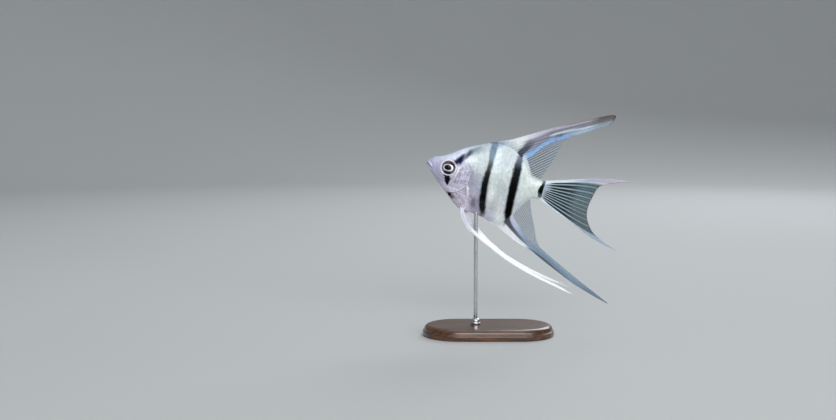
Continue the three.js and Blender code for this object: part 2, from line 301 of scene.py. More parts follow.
@dataclass(frozen=True)
class FishFrame:
    """Where the snout tip is held, in metres, and how far the nose points up."""

    snout: Triple
    nose_up: float

    @classmethod
    def between_eyes(cls, eye_x: float, eye_z: float, nose_up: float) -> FishFrame:
        """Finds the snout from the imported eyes, whose middle lies at eye_x, eye_z in the fish's frame.

        Args:
            eye_x: The eyes' distance behind the snout tip.
            eye_z: Their height over the axis.
            nose_up: The angle of the axis, in radians.

        Returns:
            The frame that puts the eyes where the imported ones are.
        """
        corners = np.array([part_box(f"eye_{side.word}") for side in Side], float)
        middle = corners.reshape(-1, 3).mean(axis=0)
        reach = cls((0.0, 0.0, 0.0), nose_up).to_world(np.array([[eye_x, 0.0, eye_z]]))[0]
        return cls(tuple(middle - reach), nose_up)

    def to_world(self, points: Array) -> Array:
        """Turns points by the nose's rise, makes them metres and moves them to the snout's place.

        Args:
            points: Points in the fish's frame.

        Returns:
            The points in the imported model's frame.
        """
        x, y, z = np.moveaxis(points, -1, 0)
        level, rise = np.cos(self.nose_up), np.sin(self.nose_up)
        turned = np.stack([x * level + z * rise, y, z * level - x * rise], axis=-1)
        return np.array(self.snout) + MM * turned


@dataclass
class Surface:
    """A mesh worked out as arrays: points, four-sided and three-sided faces, and what is painted on it."""

    name: str
    points: Array
    quads: Array
    triangles: Array = field(default_factory=lambda: np.empty((0, 3), int))
    colours: dict[str, Array] = field(default_factory=dict)
    numbers: dict[str, Array] = field(default_factory=dict)
    quad_map: Array = field(default_factory=lambda: np.empty((0, 4, 2)))
    triangle_map: Array = field(default_factory=lambda: np.empty((0, 3, 2)))
    crease: float = 180.0

    def make(self, material: Material, slot: str, nodes: Sequence[str] = ()) -> Piece:
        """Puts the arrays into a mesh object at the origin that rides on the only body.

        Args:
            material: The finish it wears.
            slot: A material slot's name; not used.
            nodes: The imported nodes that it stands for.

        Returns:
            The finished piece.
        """
        turn = -1 if self.volume() < 0.0 else 1
        quads, triangles = self.quads[:, ::turn], self.triangles[:, ::turn]
        mesh = bpy.data.meshes.new(self.name)
        corners = np.concatenate([quads.ravel(), triangles.ravel()]).astype(np.int32)
        starts = [4 * np.arange(len(quads)), 4 * len(quads) + 3 * np.arange(len(triangles))]
        mesh.vertices.add(len(self.points))
        mesh.vertices.foreach_set("co", self.points.astype(np.float32).ravel())
        mesh.loops.add(len(corners))
        mesh.loops.foreach_set("vertex_index", corners)
        mesh.polygons.add(len(quads) + len(triangles))
        mesh.polygons.foreach_set("loop_start", np.concatenate(starts).astype(np.int32))
        mesh.update(calc_edges=True)
        mesh.shade_smooth()
        mesh.set_sharp_from_angle(angle=np.radians(self.crease))
        for name, rgb in self.colours.items():
            layer = mesh.attributes.new(name, "FLOAT_COLOR", "POINT")
            rgba = np.concatenate([rgb, np.ones((len(rgb), 1))], axis=1)
            layer.data.foreach_set("color", rgba.astype(np.float32).ravel())
        for name, values in self.numbers.items():
            layer = mesh.attributes.new(name, "FLOAT", "POINT")
            layer.data.foreach_set("value", values.astype(np.float32).ravel())
        spots = [self.quad_map[:, ::turn].reshape(-1, 2), self.triangle_map[:, ::turn].reshape(-1, 2)]
        layer = mesh.uv_layers.new(name=BAKE_MAP)
        layer.data.foreach_set("uv", np.concatenate(spots).astype(np.float32).ravel())
        mesh.materials.append(material)
        piece = bpy.data.objects.new(self.name, mesh)
        bpy.context.collection.objects.link(piece)
        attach(piece, BODY)
        if nodes:
            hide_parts(*nodes)
        LOG.info("%s: %d faces", self.name, len(mesh.polygons))
        return piece

    def volume(self) -> float:
        """What the faces enclose, negative if they face inwards: a sixth of all corners' triple products.

        Returns:
            The volume, in cubes of the points' own unit.
        """
        middle = self.points.mean(axis=0)
        total = 0.0
        for a, b, c in ((0, 1, 2), (0, 2, 3)):
            first, second, third = (self.points[self.quads[:, i]] - middle for i in (a, b, c))
            total += float(np.einsum("ij,ij->", first, np.cross(second, third)))
        return total / 6.0


def grid_quads(index: Array) -> Array:
    """The four-sided faces between neighbours of a grid of point numbers, rows first."""
    corners = [index[:-1, :-1], index[1:, :-1], index[1:, 1:], index[:-1, 1:]]
    return np.stack([c.ravel() for c in corners], axis=1)


def grid_corners(values: Array) -> Array:
    """A grid's values at the four corners of each of its faces, in the order of grid_quads."""
    corners = [values[:-1, :-1], values[1:, :-1], values[1:, 1:], values[:-1, 1:]]
    return np.stack(corners, axis=2).reshape(-1, 4, values.shape[-1])


def inside_rim(shape: tuple[int, int]) -> Array:
    """Which points of a grid are not on its rim."""
    return np.pad(np.ones((shape[0] - 2, shape[1] - 2), bool), 1)


def turned_rings(radius: Array, height: Array, around: int) -> Array:
    """Level circles of points round an upright axis.

    Args:
        radius: Each circle's radius.
        height: Each circle's height.
        around: How many points it has.

    Returns:
        The points, circle by circle.
    """
    angle = np.linspace(0.0, 2.0 * np.pi, around, endpoint=False)
    x, y = radius[:, None] * np.cos(angle), radius[:, None] * np.sin(angle)
    return np.stack([x, y, np.broadcast_to(height[:, None], x.shape)], axis=-1)


def bake_spot(along: Array, around: Array) -> Array:
    """A place on the bake map, from shares along and around a piece, kept off the map's margin."""
    return BAKE_MARGIN + (1.0 - 2.0 * BAKE_MARGIN) * np.stack(np.broadcast_arrays(along, around), axis=-1)


@dataclass(frozen=True)
class Tube:
    """Rings of points, rows by places around, carried along a path and drawn in to a point at each end."""

    rings: Array
    ends: Array

    def points(self) -> Array:
        """All points of the rings in order, then the two ends."""
        return np.concatenate([self.rings.reshape(-1, 3), self.ends])

    def index(self) -> Array:
        """The rings' point numbers, the first place repeated after the last."""
        index = np.arange(self.rings[..., 0].size).reshape(self.rings.shape[:2])
        return np.concatenate([index, index[:, :1]], axis=1)

    def quads(self) -> Array:
        """The faces between the rings."""
        return grid_quads(self.index())

    def triangles(self) -> Array:
        """The fans that close the two ends.

        Returns:
            Point numbers, three to a face.
        """
        index, end = self.index(), np.full(self.rings.shape[1], self.rings[..., 0].size)
        start = np.stack([end, index[0, :-1], index[0, 1:]], axis=1)
        stop = np.stack([end + 1, index[-1, 1:], index[-1, :-1]], axis=1)
        return np.concatenate([start, stop])

    def maps(self, along: Array, low: float = 0.0, wide: float = 1.0) -> tuple[Array, Array]:
        """The bake map: the tube unrolled.

        Args:
            along: Each ring's share of the way along.
            low: Where around the map it starts.
            wide: How much of the map's height it takes.

        Returns:
            The map at the corners of the four-sided and of the three-sided faces.
        """
        around = low + wide * np.linspace(0.0, 1.0, self.rings.shape[1] + 1)
        spots = bake_spot(along[:, None], around[None, :])
        fans = []
        for share, row, order in ((0.0, spots[0], (0, 1)), (1.0, spots[-1], (1, 0))):
            sides = (row[:-1], row[1:])
            point = bake_spot(np.full(len(around) - 1, share), (around[:-1] + around[1:]) / 2.0)
            fans.append(np.stack([point, sides[order[0]], sides[order[1]]], axis=1))
        return grid_corners(spots), np.concatenate(fans)

    def surface(self, name: str, frame: FishFrame | None, colours: dict[str, Array], along: Array) -> Surface:
        """The closed tube as a surface, carried from the fish's frame if one is given."""
        points = self.points() if frame is None else frame.to_world(self.points())
        return Surface(name, points, self.quads(), self.triangles(), colours, {}, *self.maps(along))


# ---- Flesh ----


@dataclass(frozen=True)
class Body:
    """The flesh's outline and fullness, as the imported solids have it."""

    length: float = 76.5
    nose_round: float = 1.7
    back: Curve = Curve((
        (0, 2.1), (4.6, 4.7), (8.9, 6.6), (13.5, 9.3), (19.8, 13.6), (26.6, 17.2), (35.4, 21.0), (42, 22.7),
        (48, 23.0), (53.7, 20.9), (59.3, 16.3), (63, 11.8), (66.6, 7.8), (70, 6.2), (73, 6.1), (76.5, 5.6),
    ))
    belly: Curve = Curve((
        (0, -0.9), (2.9, -3.7), (6.9, -7.9), (11.9, -12.3), (16.8, -16.3), (20.9, -19.8), (26.8, -23.7),
        (31, -24.5), (35.3, -24.5), (41.7, -25.6), (47, -26.8), (53, -27), (57.5, -24.8), (60.7, -20.2),
        (64.9, -12.3), (68.2, -7.9), (71.1, -6.4), (76.5, -5.8),
    ))
    widest: Curve = Curve((
        (0, 1.1), (4.6, 2.6), (8.9, 3.85), (13.5, 5.0), (20, 6.0), (27, 6.3), (35, 6.1), (45, 5.3),
        (55, 4.1), (62, 3.0), (68, 2.3), (73, 1.7), (76.5, 0.6),
    ))
    back_sharpness: Curve = Curve((
        (0, 0.9), (14, 1.05), (26, 1.35), (40, 1.8), (58, 1.8), (68, 1.1), (76.5, 1),
    ))
    belly_sharpness: Curve = Curve((
        (0, 0.9), (14, 1), (28, 1.1), (40, 1.45), (52, 1.8), (60, 1.7), (68, 1.1), (76.5, 1),
    ))
    belliedness: Curve = Curve(((0, 0), (15, 0.05), (28, 0.14), (42, 0.08), (55, 0), (76.5, 0)))

    def point(self, x: Array, angle: Array) -> Array:
        """The left flank's point at x, where angle runs from the back, 0, to the belly, pi.

        Each section is an oval between the back and belly lines. Its half width is the widest line times the
        angle's sine to the power of the section's sharpness, and is fuller below the middle than above it.

        Args:
            x: Places along the fish.
            angle: Bearings round the section.

        Returns:
            The points.
        """
        left = 1.0 - np.minimum(x / self.nose_round, 1.0)
        rounding = np.sqrt(1.0 - left * left)
        top, bottom = self.back(x) * rounding, self.belly(x) * rounding
        up, across = np.cos(angle), np.sin(angle)
        sharpness = np.where(up > 0.0, self.back_sharpness(x), self.belly_sharpness(x))
        fuller = 1.0 - 1.5 * self.belliedness(x) * up * across * across
        half = self.widest(x) * rounding * np.maximum(across, 0.0) ** sharpness * fuller
        return np.stack([x, -half, (top + bottom) / 2.0 + (top - bottom) / 2.0 * up], axis=-1)


@dataclass
class Flank:
    """The flank by x and height: 1 at the back's ridge, 0 on the middle row of scales, -1 at the keel.

    Height goes in equal steps of length over the flank's own surface, so that meshes and scales laid out by
    it are even, and it is found from a table of each section's length.
    """

    body: Body
    middle_row: Curve = Curve(((0, 0.3), (14, -0.4), (26, 1), (40, 2), (60, 0.5), (76.5, 0)))
    stations: int = 240
    steps: int = 360
    heights: int = 120
    crowding: float = 1.5
    start: float = 0.004
    angles: Array = field(init=False)
    arcs: Array = field(init=False)

    def __post_init__(self) -> None:
        """Fills the table of angles, and of each section's length above and below the middle row."""
        share = np.linspace(self.start, 1.0, self.stations)
        x = self.body.length * share**self.crowding
        turn = np.linspace(0.0, np.pi, self.steps)
        section = self.body.point(*np.broadcast_arrays(x[:, None], turn[None, :]))
        stretch = np.linalg.norm(np.diff(section, axis=1), axis=2)
        length = np.concatenate([np.zeros((self.stations, 1)), np.cumsum(stretch, axis=1)], axis=1)
        heights = np.linspace(1.0, -1.0, self.heights + 1)
        angles, arcs = [], []
        for row, place, middle in zip(length, section, self.middle_row(x)):
            upper = np.interp(-middle, -place[:, 2], row)
            lower = row[-1] - upper
            wanted = np.where(heights > 0.0, upper * (1.0 - heights), upper - heights * lower)
            angles.append(np.interp(wanted, row, turn))
            arcs.append((upper, lower))
        self.angles, self.arcs = np.array(angles), np.array(arcs)

    def station(self, x: Array) -> Array:
        """How far down the table a place along the fish is.

        Args:
            x: Places along the fish.

        Returns:
            Rows, counted with their fractions.
        """
        share = (np.clip(x, 0.0, self.body.length) / self.body.length) ** (1.0 / self.crowding)
        row = (share - self.start) / (1.0 - self.start) * (self.stations - 1)
        return np.clip(row, 0.0, self.stations - 1.001)

    def reach(self, x: Array) -> tuple[Array, Array]:
        """The surface's length from the middle row up to the ridge and down to the keel."""
        row, at = self.station(x), np.arange(self.stations)
        return np.interp(row, at, self.arcs[:, 0]), np.interp(row, at, self.arcs[:, 1])

    def point(self, x: Array, height: Array) -> Array:
        """The left flank's point, its angle taken between the four nearest of the table's.

        Args:
            x: Places along the fish.
            height: Heights on the flank.

        Returns:
            The points.
        """
        row, column = self.station(x), (1.0 - np.clip(height, -1.0, 1.0)) / 2.0 * self.heights
        i = row.astype(int)
        j = np.minimum(column.astype(int), self.heights - 1)
        u, v = row - i, column - j
        upper = self.angles[i, j] * (1.0 - v) + self.angles[i, j + 1] * v
        lower = self.angles[i + 1, j] * (1.0 - v) + self.angles[i + 1, j + 1] * v
        return self.body.point(x, upper * (1.0 - u) + lower * u)


@dataclass(frozen=True)
class Features:
    """Where the features of the head and breast lie, and how they stand out of the skin."""

    eye_x: float = 14.1
    eye_z: float = 0.05
    eye_radius: float = 4.3
    cover_x: float = 18.5
    cover_z: float = -3.5
    cover_edge: Curve = Curve((
        (-100, 11.7), (-95, 11.5), (-76, 10.7), (-49, 10.0), (-24, 9.9), (1, 9.9), (21, 10.3), (40, 10.6),
        (58, 10.7), (70, 10.7),
    ))
    cleft: Points = ((-0.4, 0.25), (1.4, -1.0), (3.7, -2.7))
    lip_crease: Points = ((1.2, 2.9), (2.9, 1.0), (4.3, -1.4), (4.6, -3.2))
    cheek_crease: Points = ((6.2, 1.2), (6.6, -1.6), (7.6, -4.0))
    cheekbone: Points = ((20.6, -0.6), (19.2, -5.2), (16.6, -10.2), (15.9, -12.4))
    nostril: Pair = (8.3, 2.9)
    throat_gap: Pair = (18.8, -16.0)
    fin_root: Pair = (29.7, -12.3)
    fin_lean: float = 0.32
    orbit_folds: Folds = ((0.34, 4.75, 0.36),)
    eyelid_folds: Folds = ((0.10, 6.0, 0.35), (-0.10, 5.45, 0.3))
    lip_folds: Folds = ((0.34, 0.75, 0.5), (-0.55, 0.0, 0.22))
    nostril_folds: Folds = ((0.05, 0.5, 0.2), (-0.4, 0.0, 0.27))
    cover_folds: Folds = ((-0.30, 0.55, 0.4), (-0.10, -1.1, 0.3))
    cover_lip: float = 0.42
    socket_depth: float = 0.9
    gap_depth: float = 1.0
    bridge_height: float = 0.35

    def from_eye(self, x: Array, z: Array) -> Array:
        """Distance from the eye's centre."""
        return np.hypot(x - self.eye_x, z - self.eye_z)

    def from_nostril(self, x: Array, z: Array) -> Array:
        """Distance from the nostril's middle."""
        return np.hypot(x - self.nostril[0], z - self.nostril[1])

    def from_cover(self, x: Array, z: Array) -> tuple[Array, Array]:
        """Distance outwards from the gill cover's edge, and how much of an edge there is at that bearing.

        The edge is a line round the cover's middle, its radius a smooth function of the bearing.

        Args:
            x: Places along the fish.
            z: Heights over its axis.

        Returns:
            The distance, and the share of an edge.
        """
        dx, dz = x - self.cover_x, z - self.cover_z
        bearing = np.degrees(np.arctan2(dz, dx))
        there = step(-104, -92, bearing) * step(66, 48, bearing)
        return np.hypot(dx, dz) - self.cover_edge(bearing), there

    def from_fin_root(self, x: Array, z: Array, wide: float, tall: float) -> Array:
        """Distance from the breast fin's leaning root, 1 at half the width and half the height given."""
        root_x, root_z = self.fin_root
        return np.hypot((x - root_x + self.fin_lean * (z - root_z)) / wide, (z - root_z) / tall)

    def relief(self, x: Array, z: Array) -> Array:
        """How far the skin stands out, in millimetres: a sum of hills and steps about each feature.

        Args:
            x: Places along the fish.
            z: Heights over its axis.

        Returns:
            The rise, negative in grooves.
        """
        eye = self.from_eye(x, z)
        rise = folded(eye, self.orbit_folds) - self.socket_depth * step(4.4, 3.8, eye)
        behind = step(-0.3, 0.7, (x - self.eye_x - 0.6 * (z - self.eye_z)) / np.maximum(eye, 0.1))
        rise += behind * folded(eye, self.eyelid_folds)
        rise += step(4.4, 3.2, x) * folded(distance_to_line(self.cleft, x, z), self.lip_folds)
        rise -= 0.20 * hill(distance_to_line(self.lip_crease, x, z), 0.3)
        rise -= 0.07 * hill(distance_to_line(self.cheek_crease, x, z), 0.45)
        rise += self.bridge_height * oval(x, z, (4.1, 4.6), (0.8, 1.6))
        rise += folded(self.from_nostril(x, z), self.nostril_folds)
        out, there = self.from_cover(x, z)
        lid = self.cover_lip * np.exp(-np.maximum(-out, 0.0) / 4.5) * step(0.4, -0.05, out)
        rise += there * (lid + folded(out, self.cover_folds))
        rise += 0.14 * hill(distance_to_line(self.cheekbone, x, z), 0.45)
        rise -= 0.14 * hill(distance_to_line(self.cheekbone, x - 0.8, z + 0.2), 0.4)
        rise -= self.gap_depth * oval(x, z, self.throat_gap, (1.35, 0.81))
        rise += 0.55 * hill(self.from_fin_root(x, z, 0.8, 2.9), 1.0)
        return rise - 0.25 * hill(self.from_fin_root(x - 1.5, z, 0.6, 2.9), 1.0)


@dataclass(frozen=True)
class Wash:
    """A soft-edged part of the flank: an oval hill, cut down by steps along x and up z, and how strong it is.

    Each step is a pair of places, where the wash is absent and where it is full. Steps along x lean with z by
    the slant, and steps up z lean with x by the rise.
    """

    strength: float
    middle: Pair = (0.0, 0.0)
    size: Pair = (np.inf, np.inf)
    along: Points = ()
    up: Points = ()
    slant: float = 0.0
    rise: float = 0.0

    def __call__(self, x: Array, z: Array) -> Array:
        """Its strength at each place.

        Args:
            x: Places along the fish.
            z: Heights over its axis.

        Returns:
            The share of the wash.
        """
        share = self.strength * oval(x, z, self.middle, self.size)
        for none, full in self.along:
            share = share * step(none, full, x + self.slant * z)
        for none, full in self.up:
            share = share * step(none, full, z + self.rise * x)
        return share


def total(washes: Sequence[Wash], x: Array, z: Array) -> Array:
    """The washes' strengths, added up at each place."""
    return sum(wash(x, z) for wash in washes)


def washed(rgb: Array, washes: Sequence[tuple[Tone, Wash]], x: Array, z: Array) -> Array:
    """Colours with washes of tone laid over them, one after another.

    Args:
        rgb: The colours.
        washes: Each wash with its tone.
        x: Places along the fish.
        z: Heights over its axis.

    Returns:
        The washed colours.
    """
    for colour, wash in washes:
        rgb = mix(rgb, colour, wash(x, z))
    return rgb


@dataclass(frozen=True)
class Bar:
    """A dark bar: its middle line, half width and darkness by height, and how soft its edges are."""

    middle: Curve
    half: Curve
    strength: Curve
    soft: float = 0.7

    def __call__(self, x: Array, z: Array) -> Array:
        """How dark the bar makes a place, from 0 to 1."""
        off = np.abs(x - self.middle(z)) - self.half(z)
        return self.strength(z) * step(self.soft, -self.soft, off)


@dataclass(frozen=True)
class Markings:
    """The fish's colours by place on its side, with highlights and shade painted in, the same for skin, scales
    and fin roots.
    """

    body: Body
    features: Features
    flank: tuple[tuple[Tone, Wash], ...] = (
        (Tone.CHALK, Wash(0.85, along=((58, 63),), up=((-14, -2),))),
        # painted shade: a faint lavender wash low on the flank behind the second bar
        (Tone.LAVENDER, Wash(0.2, along=((44, 47),), up=((47, 39),), rise=0.9)),
        (Tone.OYSTER, Wash(0.8, (43, 0), (2.6, np.inf), up=((4, -10),))),
        (Tone.SHELL, Wash(0.7, along=((41, 45),), up=((-8, -20),))),
        (Tone.FRONT, Wash(0.9, along=((39, 34),))),
        (Tone.GILL, Wash(0.9, along=((39, 26),), slant=0.7)),
        (Tone.LAVENDER, Wash(1.0, along=((27, 14),), slant=0.8)),
        (Tone.BREAST, Wash(1.0, along=((39, 29),), up=((-9, -15),))),
    )
    paler: tuple[Wash, ...] = (
        Wash(0.42, along=((28, 19),), up=((-7, -12),)),
        Wash(-0.3, along=((28, 19),), up=((-7, -12), (-11, -15))),
        Wash(0.16, along=((30, 38),), up=((-3, -12),)),
        Wash(0.52, (32.0, -11.5), (4.6, 5.6)),
        Wash(0.45, (30.5, -22.8), (7.0, 3.2)),
        Wash(0.26, (26.5, 0.5), (5.0, 5.5)),
        Wash(0.42, (42.4, 0.0), (2.4, np.inf), up=((-3, -10),)),
        Wash(0.17, along=((57, 60),), up=((8, 12),)),
        Wash(0.5, along=((40, 43), (56, 50)), up=((-18.5, -24),)),
    )
    darker: tuple[Wash, ...] = (
        Wash(0.29, along=((22, 29),), slant=0.3),
        Wash(0.13, along=((42, 46), (60, 56)), up=((1, 11),)),
        Wash(0.1, (33.0, 7.0), (4.0, 4.5)),
        Wash(0.09, (0.0, 2.0), (np.inf, 5.5), along=((60, 63),)),
        Wash(0.18, (61.5, 6.0), (2.4, 4.5)),
        Wash(0.14, (24.5, -14.5), (2.5, 3.0)),
        Wash(0.12, (45.5, -15.0), (2.0, 3.0)),
        Wash(0.1, (35.6, 0.0), (1.5, np.inf), up=((-7, -1), (13, 9))),
    )
    face: tuple[tuple[Tone, Wash], ...] = (
        (Tone.FOREHEAD, Wash(1.0, along=((30, 20),), up=((0.5, 6.0),), rise=-0.1)),
        (Tone.SNOUT, Wash(0.85, along=((10, 5),))),
        (Tone.CREAM, Wash(0.35, (26.0, 7.5), (3.6, 3.0))),
        (Tone.ROSE, Wash(0.3, (21.5, -0.8), (1.8, 1.8 / 1.4))),
        (Tone.ROSE, Wash(0.25, (25.0, -6.5), (2.2, 2.2))),
    )
    clouded: tuple[Wash, ...] = (
        Wash(0.02),
        Wash(0.22, along=((15, 19), (32, 28)), up=((6, 2),)),
        Wash(0.06, along=((14, 18), (36, 30))),
        Wash(0.06, along=((13, 9),)),
    )
    # painted highlight: a pale spot on the lower gill cover; painted shade: two patches just behind the cover's
    # edge
    spots: tuple[tuple[Tone, Wash], ...] = (
        (Tone.IVORY_HIGHLIGHT, Wash(0.7, (20.3, -11.6), (0.8, 0.8 / 1.5))),
        (Tone.SHADE, Wash(0.3, (27.3, -11.3), (1.5, 1.5))),
        (Tone.SHADE, Wash(0.2, (30.6, -0.5), (1.6, 3.6))),
    )
    second_bar: Bar = Bar(
        Curve((
            (-26, 41.6), (-24, 41.1), (-20, 39.9), (-15, 38.75), (-10, 38.2), (-4, 37.65), (4, 38.0),
            (8, 38.2), (16, 37.95), (20, 38.3), (25, 39.6),
        )),
        Curve((
            (-26, 1.0), (-22, 1.75), (-15, 2.25), (-5, 2.1), (0, 2.0), (8, 1.5), (11, 1.6), (16, 2.05),
            (22, 2.1),
        )),
        Curve((
            (-26.5, 0), (-24.5, 0.5), (-22, 0.97), (-10, 1), (3, 0.98), (7, 0.91), (10, 0.88), (13, 0.88),
            (18, 0.9), (20, 0.8), (22, 0.62), (25, 0.3), (28, 0),
        )),
    )
    third_bar: Bar = Bar(
        Curve((
            (-34, 70.5), (-29, 64.2), (-26.5, 60.7), (-23, 57.9), (-20, 56.9), (-10, 56.05), (0, 55.8),
            (7, 55.85), (10, 55.75), (15, 55.75), (20, 56.9), (25, 60.0), (30, 62.6),
        )),
        Curve((
            (-34, 1.6), (-28, 2.1), (-24, 2.4), (-20, 2.6), (-10, 2.7), (0, 2.85), (7, 2.7), (10, 2.65),
            (12.5, 2.4), (15, 2.0), (22, 2.3), (30, 2.0),
        )),
        Curve((
            (-36, 0), (-31, 0.5), (-27, 0.9), (-22, 1), (9, 1), (13, 0.98), (17, 0.97), (22, 0.97), (25, 0.8),
            (28, 0.3), (31, 0),
        )),
        0.8,
    )
    tail_bar: Bar = Bar(
        Curve(((-6, 74.4), (-4, 74.1), (-2, 73.8), (0, 73.95), (2, 74.4), (4, 74.95), (5.5, 75.5))),
        Curve(((-5, 1.2), (-4, 1.5), (-2, 1.7), (0, 1.8), (2, 1.65), (4, 1.45), (6, 1.2))),
        Curve(((-5.6, 0), (-4.8, 0.75), (-3.5, 0.88), (-1.5, 1), (3, 1), (4.5, 0.95), (5.9, 0.7), (6.6, 0))),
        0.35,
    )
    # painted highlights: pale lines along the raised lines of the gill cover and breast fin's root, each line
    # with its width and strength
    ridge_highlights: tuple[tuple[Points, float, float], ...] = (
        (((27.2, -7.2), (28.6, -9.4), (29.8, -11.8), (30.3, -14.4)), 0.65, 0.6),
        (((21.0, -13.6), (24.0, -13.0), (26.6, -12.0)), 0.4, 0.35),
        (((19.7, 1.8), (20.1, 0.0), (19.4, -2.4), (18.6, -5.0)), 0.45, 0.4),
    )
    nape: Points = ((18.8, 5.5), (20.3, 6.9), (22.2, 9.0), (24.8, 12.4), (28.2, 14.6), (33.5, 16.8))
    nape_half: Curve = Curve((
        (0, 2.3), (0.13, 2.25), (0.26, 1.6), (0.39, 1.5), (0.55, 1.6), (0.71, 1.85), (1, 1.6),
    ))
    nape_dark: Curve = Curve((
        (0, 1.0), (0.15, 1.0), (0.26, 0.8), (0.39, 0.93), (0.55, 0.64), (0.71, 0.46), (1, 0),
    ))

    def colour(self, x: Array, z: Array) -> Array:
        """The colour of each place, as linear shares of red, green and blue.

        Args:
            x: Places along the fish.
            z: Heights over its axis.

        Returns:
            The colours.
        """
        back, belly = self.body.back(x), self.body.belly(x)
        below_back = np.maximum(back - z, 0.0)
        height = (z - belly) / np.maximum(back - belly, 1.0)
        rgb = mix(Tone.PEARL, Tone.MINT, step(0.1, 0.5, height))
        rgb = mix(rgb, Tone.CREAM, step(0.5, 0.8, height))
        rgb = washed(rgb, self.flank, x, z)
        # painted light: the skin along the back's ridge over the middle of the trunk is made paler
        paler = total(self.paler, x, z) + 0.34 * np.exp(-below_back / 1.5) * hill(x - 49.0, 7.0)
        rgb = rgb * ((1.0 - total(self.darker, x, z)) * (1.0 + paler))[..., None]
        rgb = washed(rgb, self.face, x, z)
        clouds = np.sin(3.7 * x + 2.0 * z) * np.sin(3.3 * z - 1.5 * x + 2.0)
        clouds += 0.6 * np.sin(5.2 * x - 3.4 * z + 1.0)
        rgb = rgb * (1.0 + total(self.clouded, x, z) * clouds)[..., None]
        ahead_of_bar = 1.0 - 0.8 * step(43, 47, x) - 0.2 * step(53, 58, x)
        rgb = mix(rgb, Tone.BACK_BLUE, 0.85 * np.exp(-below_back / 1.4) * ahead_of_bar)
        rgb = mix(rgb, Tone.SADDLE_BLUE, 0.75 * np.exp(-below_back / 2.0) * hill(x - 41.5, 4.0))
        return self.with_bars(self.with_painted_light(rgb, x, z), x, z)

    def with_painted_light(self, rgb: Array, x: Array, z: Array) -> Array:
        """Adds painted highlights on the raised edges of gill cover, orbit and fin root, painted shade in
        grooves and the mouth.

        Args:
            rgb: The colours so far.
            x: Places along the fish.
            z: Heights over its axis.

        Returns:
            The new colours.
        """
        features = self.features
        out, there = features.from_cover(x, z)
        # painted highlight along the gill cover's raised edge, stronger lower down, and painted shade in the
        # groove behind it
        bright = 0.75 - 0.4 * step(-7, 0, z)
        rgb = mix(rgb, Tone.IVORY_HIGHLIGHT, bright * there * hill(out + 0.35, 0.5))
        rgb = mix(rgb, Tone.LAVENDER.rgb * 0.45, 0.6 * there * hill(out - 0.5, 0.35))
        # painted highlights along the cheekbone and the cover's other raised lines
        for line, width, strength in ((features.cheekbone, 0.5, 0.4), *self.ridge_highlights):
            rgb = mix(rgb, Tone.IVORY_HIGHLIGHT, strength * hill(distance_to_line(line, x, z), width))
        # painted highlight and painted shade in small patches on and behind the gill cover
        rgb = washed(rgb, self.spots, x, z)
        eye = features.from_eye(x, z)
        # painted highlights on the orbit's rim and on the fold round it, and painted shade in the groove
        # between them
        rgb = mix(rgb, Tone.IVORY_HIGHLIGHT, 0.85 * hill(eye - 4.85, 0.45))
        rgb = mix(rgb, Tone.LAVENDER.rgb * 0.5, 0.45 * hill(eye - 5.5, 0.25) * step(-1, 2, x - 13.5))
        rgb = mix(rgb, Tone.IVORY_HIGHLIGHT, 0.4 * hill(eye - 6.1, 0.35) * step(0, 3, x - 13.5 - z))
        # painted shade in the mouth's cleft, the lip and cheek crease lines and the nostril
        crease_shade = hill(distance_to_line(features.cleft, x, z), 0.25) * step(4.4, 3.4, x)
        crease_shade += 0.35 * hill(distance_to_line(features.lip_crease, x, z), 0.3)
        crease_shade += 0.3 * hill(distance_to_line(features.cheek_crease, x, z), 0.4)
        crease_shade += 0.7 * hill(features.from_nostril(x, z), 0.3)
        rgb = mix(rgb, Tone.CREASE, 0.75 * np.clip(crease_shade, 0.0, 1.0))
        # painted highlight on the breast fin's raised root, and painted shade in the groove behind it
        rgb = mix(rgb, Tone.IVORY_HIGHLIGHT, 0.9 * hill(features.from_fin_root(x, z, 0.6, 3.0), 1.0))
        rgb = mix(rgb, Tone.FIN_ROOT_SHADE, 0.6 * hill(features.from_fin_root(x - 1.2, z, 0.4, 2.8), 1.0))
        # painted shadow of the breast fin, cast on the flank below and behind its root
        return mix(rgb, Tone.SHADE, 0.95 * oval(x + 0.15 * (z + 18.0), z, (33.4, -17.6), (2.3, 4.0)))

    def with_bars(self, rgb: Array, x: Array, z: Array) -> Array:
        """Adds the bars of the flank and tail, the nape's patch, the eye's wedge, and painted shade in the
        throat's gap.

        Args:
            rgb: The colours so far.
            x: Places along the fish.
            z: Heights over its axis.

        Returns:
            The new colours.
        """
        rgb = mix(rgb, mix(Tone.INK, Tone.STEEL_BLUE, step(7, 15, z)), self.second_bar(x, z))
        fading = mix(Tone.INK, Tone.BAR_TOP, step(8.5, 20.5, z))
        rgb = mix(rgb, mix(fading, Tone.BAR_FOOT, step(-27, -33, z)), self.third_bar(x, z))
        edged = mix(Tone.INK, Tone.TAIL_BAR_EDGE, step(1.5, 4.5, np.abs(z)))
        rgb = mix(rgb, edged, self.tail_bar(x, z))
        along = np.clip((x - 18.0) / 15.5, 0.0, 1.0)
        off = distance_to_line(self.nape, x, z) - self.nape_half(along)
        nape = mix(Tone.NAVY, Tone.STEEL_BLUE, step(0.35, 0.75, along))
        rgb = mix(rgb, nape, self.nape_dark(along) * step(0.8, -0.9, off))
        rgb = mix(rgb, Tone.WEDGE, self.wedge(x, z))
        # painted shade in the sunken gap at the throat
        gap_x, gap_z = self.features.throat_gap
        gap = oval(x, z + 0.4 * (x - gap_x), (gap_x, gap_z - 0.3), (1.995, 1.1875))
        return mix(rgb, Tone.THROAT_SHADE, np.clip(1.5 * gap, 0.0, 1.0))

